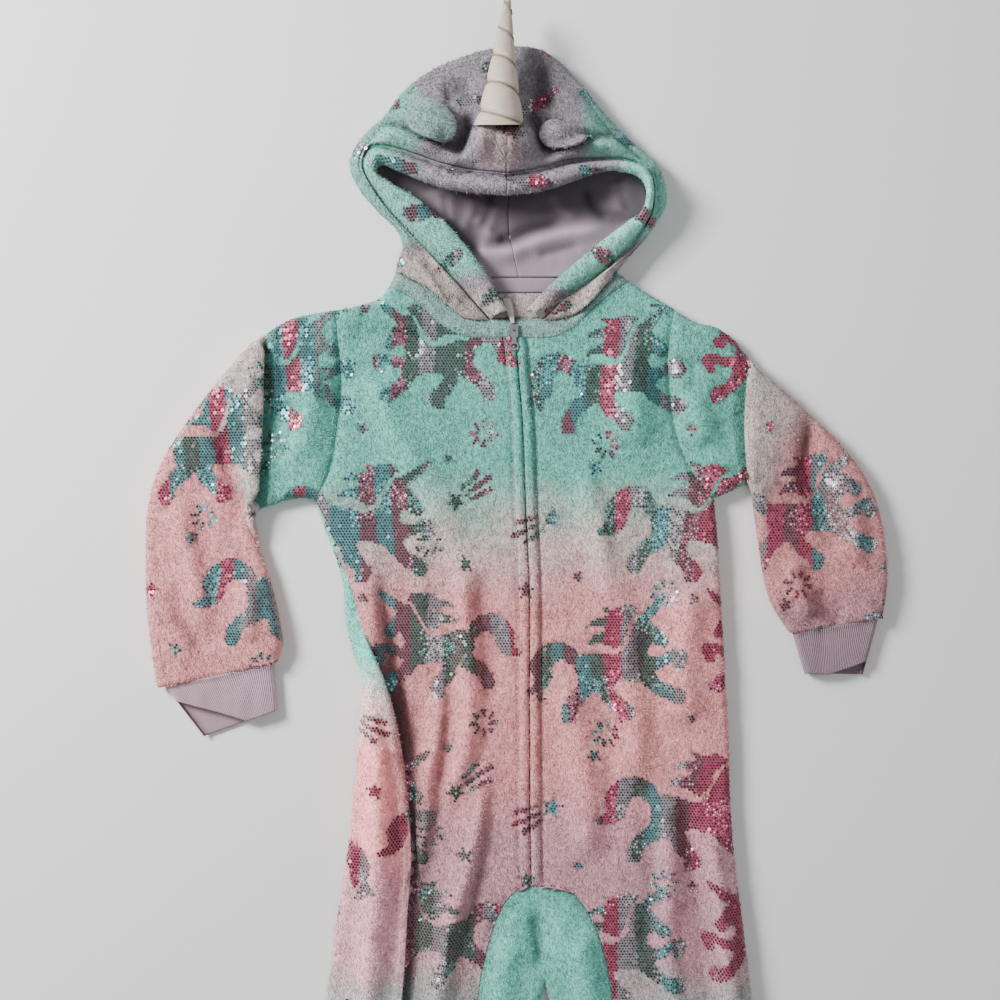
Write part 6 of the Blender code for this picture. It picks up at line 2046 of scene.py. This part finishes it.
@dataclass(frozen=True)
class Horn:
    """A stuffed satin cone drawn in along a spiral, with a cord laid in the groove.

    At fraction t along the axis and angle a, the radius runs from the base's to the tip's as
    t to the power 0.75, less a groove where turns · t - a / 2π is a whole number.
    """

    base: tuple[float, float, float] = (-14.5, 506.0, 53.0)
    tip: tuple[float, float, float] = (-8.0, 616.0, 33.0)
    base_radius: float = 20.5
    tip_radius: float = 3.0
    wraps: float = 4.5
    groove: float = 0.12

    def frame(self) -> tuple[Array, Array, Array, Array]:
        """Base, run to the tip, and the two directions across the axis."""
        base, run = np.array(self.base), np.array(self.tip) - np.array(self.base)
        side = np.array([1.0, 0.0, 0.0])
        return base, run, side, unit(np.cross(side, unit(run)))

    def surface(self, t: Array, angle: Array, ground: Ground, out: float = 0.0) -> Array:
        """Points on the cone, `out` millimetres off it and clear of the crown."""
        base, run, side, up = self.frame()
        phase = (self.wraps * t - angle / (2 * math.pi)) % 1.0
        away = np.minimum(phase, 1 - phase)
        drawn = 1 - self.groove * np.exp(-((away / 0.10) ** 2))
        puff = 1 + 0.05 * np.sin(np.pi * phase)
        radius = (self.base_radius + (self.tip_radius - self.base_radius) * t**0.75) * drawn * puff
        radius = radius + out
        end = np.sqrt(np.clip(1 - ((t - 0.985) / 0.015).clip(0, 1) ** 2, 0.0, 1))
        radius = radius * np.maximum(end, 0.02)
        ring = side * np.cos(angle)[..., None] + up * np.sin(angle)[..., None]
        points = base + run * t[..., None] + ring * radius[..., None]
        points[..., 1] -= 0.42 * np.sin(angle) * radius * np.clip(1 - t / 0.2, 0, 1)
        floor = ground.at(points[..., 0], points[..., 1]) + 0.8
        points[..., 2] = np.maximum(points[..., 2], floor)
        return points

    def make(self, satin: bpy.types.Material, cord: bpy.types.Material,
             ground: Ground) -> tuple[bpy.types.Object, bpy.types.Object]:
        """Builds the cone and its cord."""
        t = np.concatenate([np.linspace(0, 0.985, 150), 0.985 + 0.015 * np.sin(
            np.linspace(0, math.pi / 2, 8))[1:]])[:, None]
        angle = np.linspace(0, 2 * math.pi, 65)[:-1][None]
        t, angle = np.broadcast_arrays(t, angle)
        grid = self.surface(t, angle, ground)
        wrinkle = 0.3 * noise(np.stack([angle * 9, t * 104], -1), 5, 61)
        grid = grid + wrinkle[..., None] * np.array([0, 0, 1.0])
        cloth = np.stack([angle * 14, t * 104], -1)
        mesh = Mesh("horn_cone")
        closed_grid(mesh, grid, cloth)
        cone = mesh.build(satin, weld=True)
        outward(cone)
        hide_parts("horn")
        line_t = np.linspace(0.0, 0.97, 620)
        line_a = line_t * self.wraps * 2 * math.pi
        middle = self.surface(line_t, line_a, ground, 0.35)
        mesh = Mesh("horn_cord")
        tube(mesh, middle, 0.95, 8, twist=0.22)
        thread = mesh.build(cord)
        return cone, thread


def tube(mesh: Mesh, line: Array, radius: float, sides: int, twist: float = 0.0) -> None:
    """A closed tube along a line, with two plies standing out by `twist`."""
    along = heading(line)
    side = unit(np.cross(along, (0.0, 0.0, 1.0)), 1e-6)
    up = np.cross(side, along)
    length = run_length(line)
    a = np.linspace(0, 2 * math.pi, sides + 1)[:-1]
    ply = radius * (1 + twist * np.cos(2 * a + length[:, None] * 2.2))
    grid = line[:, None] + side[:, None] * (np.cos(a) * ply)[..., None] + up[:, None] * (
        np.sin(a) * ply)[..., None]
    cloth = np.stack(np.broadcast_arrays(a * radius, length[:, None]), -1)
    closed_grid(mesh, grid, cloth)


@dataclass(frozen=True)
class Stitching:
    """Short threads end to end along seams: six-sided spindles along three-dimensional lines."""

    length: float = 2.5
    pitch: float = 3.3
    radius: float = 0.42

    def make(self, lines: Sequence[Array], thread: bpy.types.Material) -> bpy.types.Object:
        """Builds every stitch as one piece."""
        mesh = Mesh("stitching")
        share = np.array([-0.5, -0.38, 0.0, 0.38, 0.5]) * self.length
        size = np.array([0.3, 0.85, 1.0, 0.85, 0.3]) * self.radius
        angle = np.linspace(0, 2 * math.pi, 7)[:-1]
        ring = np.arange(6)
        quads = np.concatenate([
            np.stack([6 * k + ring, 6 * k + (ring + 1) % 6, 6 * k + 6 + (ring + 1) % 6,
                      6 * k + 6 + ring], 1) for k in range(4)
        ] + [np.array([(3, 2, 1, 0), (5, 4, 3, 0), (24, 25, 26, 27), (24, 27, 28, 29)])])
        for line in lines:
            run = run_length(line)
            at = np.arange(self.pitch / 2, run[-1] - self.pitch / 2, self.pitch)
            middle, along = (np.stack([np.interp(at, run, a) for a in values.T], 1)
                             for values in (line, np.gradient(line, axis=0)))
            along = unit(along)
            side = unit(np.cross(along, (0.0, 0.0, 1.0)))
            up = np.cross(side, along)
            out = side[:, None] * np.cos(angle)[:, None] + up[:, None] * np.sin(angle)[:, None]
            points = (middle[:, None, None] + along[:, None, None] * share[:, None, None]
                      + out[:, None] * size[:, None, None])
            faces = np.arange(len(at))[:, None, None] * 30 + quads
            mesh.add(points.reshape(-1, 3), faces.reshape(-1, 4))
        thing = mesh.build(thread)
        outward(thing)
        return thing


# ---------------------------------------------------------------- zip
@dataclass(frozen=True)
class Zip:
    """The tape between the fronts, its closed coil of teeth and the tape's free end."""

    width: float = 22.0
    tape_depth: float = 3.6
    teeth_depth: float = 3.5
    tooth_pitch: float = 1.5
    tooth_height: float = 1.1
    tape_end: tuple[tuple[float, float, float, float], ...] = (
        (-3.0, 347.3, 13.4, 2.6), (-4.0, 352.0, 13.1, 4.4), (-6.0, 360.0, 10.8, 6.4),
        (-8.5, 369.0, 8.6, 7.0),
    )

    def line(self) -> Array:
        """The zip's middle from its lower end to the slider."""
        return smooth_line(((-1, 350), (-1, 337)) + ZIP_LINE[1:], 320)[::-1]

    def make(self, woven: bpy.types.Material, ivory: bpy.types.Material,
             nylon: bpy.types.Material) -> list[bpy.types.Object]:
        """Builds tape, teeth and free end."""
        line = self.line()
        along = heading(line)
        across = np.stack([along[:, 1], -along[:, 0]], 1)
        plan = line[:, None] + across[:, None] * (np.linspace(-0.5, 0.5, 11) * self.width)[:, None]
        height = LIE.top(line)[:, None] - self.tape_depth
        mesh = Mesh("zip_band")
        mesh.grid(raised(plan, height))
        tape = mesh.build(woven, 0.8, face=1)
        declare(tape, Cut(22, 470), ("zip_tape",))
        return [tape, self.teeth(line, across, nylon), self.end(ivory)]

    def teeth(self, line: Array, across: Array, nylon: bpy.types.Material) -> bpy.types.Object:
        """Small rounded blocks, alternating sides, along the middle."""
        length = run_length(line)
        at = np.arange(1.0, length[-1] - 1, self.tooth_pitch)
        spot = np.stack([np.interp(at, length, a) for a in line.T], 1)
        out = np.stack([np.interp(at, length, a) for a in across.T], 1)
        out *= np.where(np.arange(len(at)) % 2, 1, -1)[:, None]
        forward = np.stack([-out[:, 1], out[:, 0]], 1)
        top = LIE.top(spot) - self.teeth_depth
        corners = np.array([(-0.7, -0.45), (1.4, -0.45), (1.4, 0.45), (-0.7, 0.45)])
        flat = spot[:, None] + out[:, None] * corners[:, :1] + forward[:, None] * corners[:, 1:]
        low = raised(flat, top[:, None])
        shrunk = spot[:, None] + (flat - spot[:, None]) * 0.7
        high = raised(shrunk, top[:, None] + self.tooth_height)
        points = np.concatenate([low, high], 1)
        faces = np.array([(4, 5, 6, 7), (0, 1, 5, 4), (1, 2, 6, 5), (2, 3, 7, 6), (3, 0, 4, 7),
                          (3, 2, 1, 0)])
        index = np.arange(len(at))[:, None, None] * 8 + faces
        mesh = Mesh("zip_teeth")
        mesh.add(points.reshape(-1, 3), index.reshape(-1, 4))
        thing = mesh.build(nylon)
        return thing

    def end(self, ivory: bpy.types.Material) -> bpy.types.Object:
        """The folded tape above the slider, which runs in under the rim."""
        table = spread(self.tape_end, 24)
        half = table[:, 3:4] * np.linspace(-0.5, 0.5, 9)
        plan = np.stack([table[:, :1] + half, np.repeat(table[:, 1:2], 9, 1)], -1)
        height = table[:, 2:3] + 0.25 * np.cos(np.linspace(-2.6, 2.6, 9))
        mesh = Mesh("zip_end")
        mesh.grid(raised(plan, height))
        thing = mesh.build(ivory, 0.7, face=1)
        declare(thing, Cut(14, 24), ("zip_tape_end",))
        return thing


# ---------------------------------------------------------------- room
SENSOR = 36.0
CAMERA_HEIGHT = 1300.0
PICTURE_WIDTH = 850.0  # of the floor seen from that height
CAMERA_PLACE = (-0.014, 0.18135, 1.312)
FLOOR_COLOUR = (0.86, 0.86, 0.86)
SKY_STRENGTH = 0.33


@dataclass(frozen=True)
class Lamp:
    """A square area light: its side in metres and its power in watts."""

    name: str
    spot: tuple[float, float, float]
    size: float
    power: float
    colour: Colour

    def hang(self, scene: bpy.types.Scene) -> None:
        """Adds it to a scene, turned to the chest."""
        light = bpy.data.lights.new(self.name, "AREA")
        light.size, light.energy, light.color = self.size, self.power, self.colour
        thing = bpy.data.objects.new(self.name, light)
        scene.collection.objects.link(thing)
        thing.location = self.spot
        look(thing, (0.0, 0.1, 0.0))


LAMPS = (
    Lamp("key", (-1.45, 1.0, 1.15), 0.6, 82.0, (1.0, 0.985, 0.97)),
    Lamp("fill", (0.7, 0.1, 2.5), 1.8, 12.0, (0.97, 0.98, 1.0)),
)


def studio() -> None:
    """Floor, soft daylight from the upper left and the camera over the chest."""
    scene = bpy.context.scene
    bpy.ops.mesh.primitive_plane_add(size=6.0, location=(0, 0, -0.0006))
    floor = bpy.context.object
    floor.name = "studio_floor"
    s = Shader("studio_floor", roughness=0.9)
    paper = s.noise(400.0, 2.0)
    floor.data.materials.append(s.finish(s.shaded(FLOOR_COLOUR, 0.98 + 0.04 * paper)))
    for lamp in LAMPS:
        lamp.hang(scene)
    world = bpy.data.worlds.new("studio")
    scene.world = world
    world.use_nodes = True
    sky = world.node_tree.nodes["Background"].inputs
    sky["Color"].default_value = (1, 1, 1, 1)
    sky["Strength"].default_value = SKY_STRENGTH
    lens = bpy.data.cameras.new("camera")
    lens.sensor_width = SENSOR
    lens.lens = SENSOR * CAMERA_HEIGHT / PICTURE_WIDTH
    camera = bpy.data.objects.new("camera", lens)
    scene.collection.objects.link(camera)
    camera.location = CAMERA_PLACE
    scene.camera = camera


def look(thing: bpy.types.Object, target: tuple[float, float, float]) -> None:
    """Turns an object's -Z axis towards a spot."""
    way = Vector(target) - thing.location
    thing.rotation_euler = way.to_track_quat("-Z", "Y").to_euler()


def main() -> None:
    """Builds every piece."""
    logging.basicConfig(level=logging.INFO, format="%(relativeCreated)6d ms %(message)s")
    studio()
    body_fleece = Fleece("fleece_body", BODY_STOPS).material()
    hood_fleece = Fleece("fleece_hood", HOOD_STOPS).material()
    jersey = plain("jersey", Plain.JERSEY, linear(150, 135, 146), 1.0)
    rib = plain("rib", Plain.RIB, LAVENDER)
    skins = Body(body_fleece).make()
    skins.append(Gusset(body_fleece).make())
    for sleeve in (
        Sleeve("sleeve_panel_left", "sleeve_left", SLEEVE_LEFT, ARMHOLE_LEFT, 4.6, 61.0,
               Cut(340, 420)),
        Sleeve("sleeve_panel_right", "sleeve_right", SLEEVE_RIGHT, ARMHOLE_RIGHT, 4.6, 118.0,
               Cut(320, 380), 0.22, 0.17),
    ):
        skins += sleeve.make(body_fleece)
    Nap().make("nap_body", [skin for skin in skins if skin.up > 0], body_fleece, "fleece")
    for cuff in (
        Cuff("cuff_rib_left", "cuff_left", (-300, 38.3), (-207, 58.4), (-267, -5), (-204, 18),
             0.72, Cut(190, 48)),
        Cuff("cuff_rib_right", "cuff_right", (309, 96.5), (235.5, 84.4), (296, 48), (246, 49),
             0.25, Cut(150, 48), 0.6),
        Cuff("leg_rib_left", "leg_cuff_left", (-150, HEM_Y), (-27, HEM_Y), (-139, LEG_END_Y),
             (-40, LEG_END_Y), 0.0, Cut(250, 62)),
        Cuff("leg_rib_right", "leg_cuff_right", (186, HEM_Y), (75, HEM_Y), (176, LEG_END_Y),
             (85, LEG_END_Y), 0.0, Cut(225, 62)),
    ):
        cuff.make(rib)
    hood_skins, crowns = Hood(hood_fleece, hood_fleece, jersey).make()
    hood_skins += [
        Neckband("neck_band_left", "neckband_left", NECK_LOWER_LEFT, NECK_UPPER_LEFT,
                 BACK_NECK_LEFT, Cut(16, 240)).make(hood_fleece),
        Neckband("neck_band_right", "neckband_right", NECK_LOWER_RIGHT, NECK_UPPER_RIGHT,
                 BACK_NECK_RIGHT, Cut(16, 215)).make(hood_fleece),
    ]
    tape, _ = strip("neck_band_tape", ((-27, 374.6), (38, 387.2)), 5.2, jersey, 1.4)
    declare(tape, Cut(66, 14), ("neck_tape",))
    facing, facing_skin = strip("neck_plush", ((-24, 352.6), (33, 373.8)), 6.4, hood_fleece, 2.6,
                                0.3)
    declare(facing, Cut(58, 23), ("neck_facing",))
    ground = Ground([grid[:, :30] for grid in crowns])
    hood_skins += [
        facing_skin,
        Ear("ear_pad_left", "ear_left", *EAR_PLACES[0], 0.72).make(hood_fleece, ground),
        Ear("ear_pad_right", "ear_right", *EAR_PLACES[1], 0.6).make(hood_fleece, ground),
    ]
    Nap().make("nap_hood", hood_skins, hood_fleece, "fleece_hood")
    satin = plain("horn_satin", Plain.SATIN, linear(198, 183, 168), 0.45)
    gold = plain("horn_cord", Plain.CORD, linear(150, 136, 112), 0.35)
    Horn().make(satin, gold, ground)
    woven = plain("zip_tape", Plain.TAPE, linear(150, 138, 150))
    ivory = plain("zip_tape_end", Plain.TAPE, linear(224, 216, 206))
    nylon = plain("zip_teeth", Plain.THREAD, linear(120, 110, 122), 0.5)
    Zip().make(woven, ivory, nylon)
    silver = plain("silver", Plain.METAL, linear(140, 139, 143), 0.25)
    for node in ("zip_slider", "zip_pull"):
        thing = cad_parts[node]
        thing.data.materials.clear()
        thing.data.materials.append(silver)
    welt = smooth_line(ZIP_LINE[1:], 200)
    seams = [raised(welt + (side, 0), LIE.top(welt + (side, 0)) - 0.2) for side in (-9.3, 9.3)]
    seams += [grid[12:, 4] + (0, 0, 0.5) for grid in crowns]
    thread = plain("thread", Plain.THREAD, linear(176, 160, 162))
    Stitching().make(seams, thread)
    Print().make(skins + hood_skins, foil("foil"))


if __name__ == "__main__":
    main()
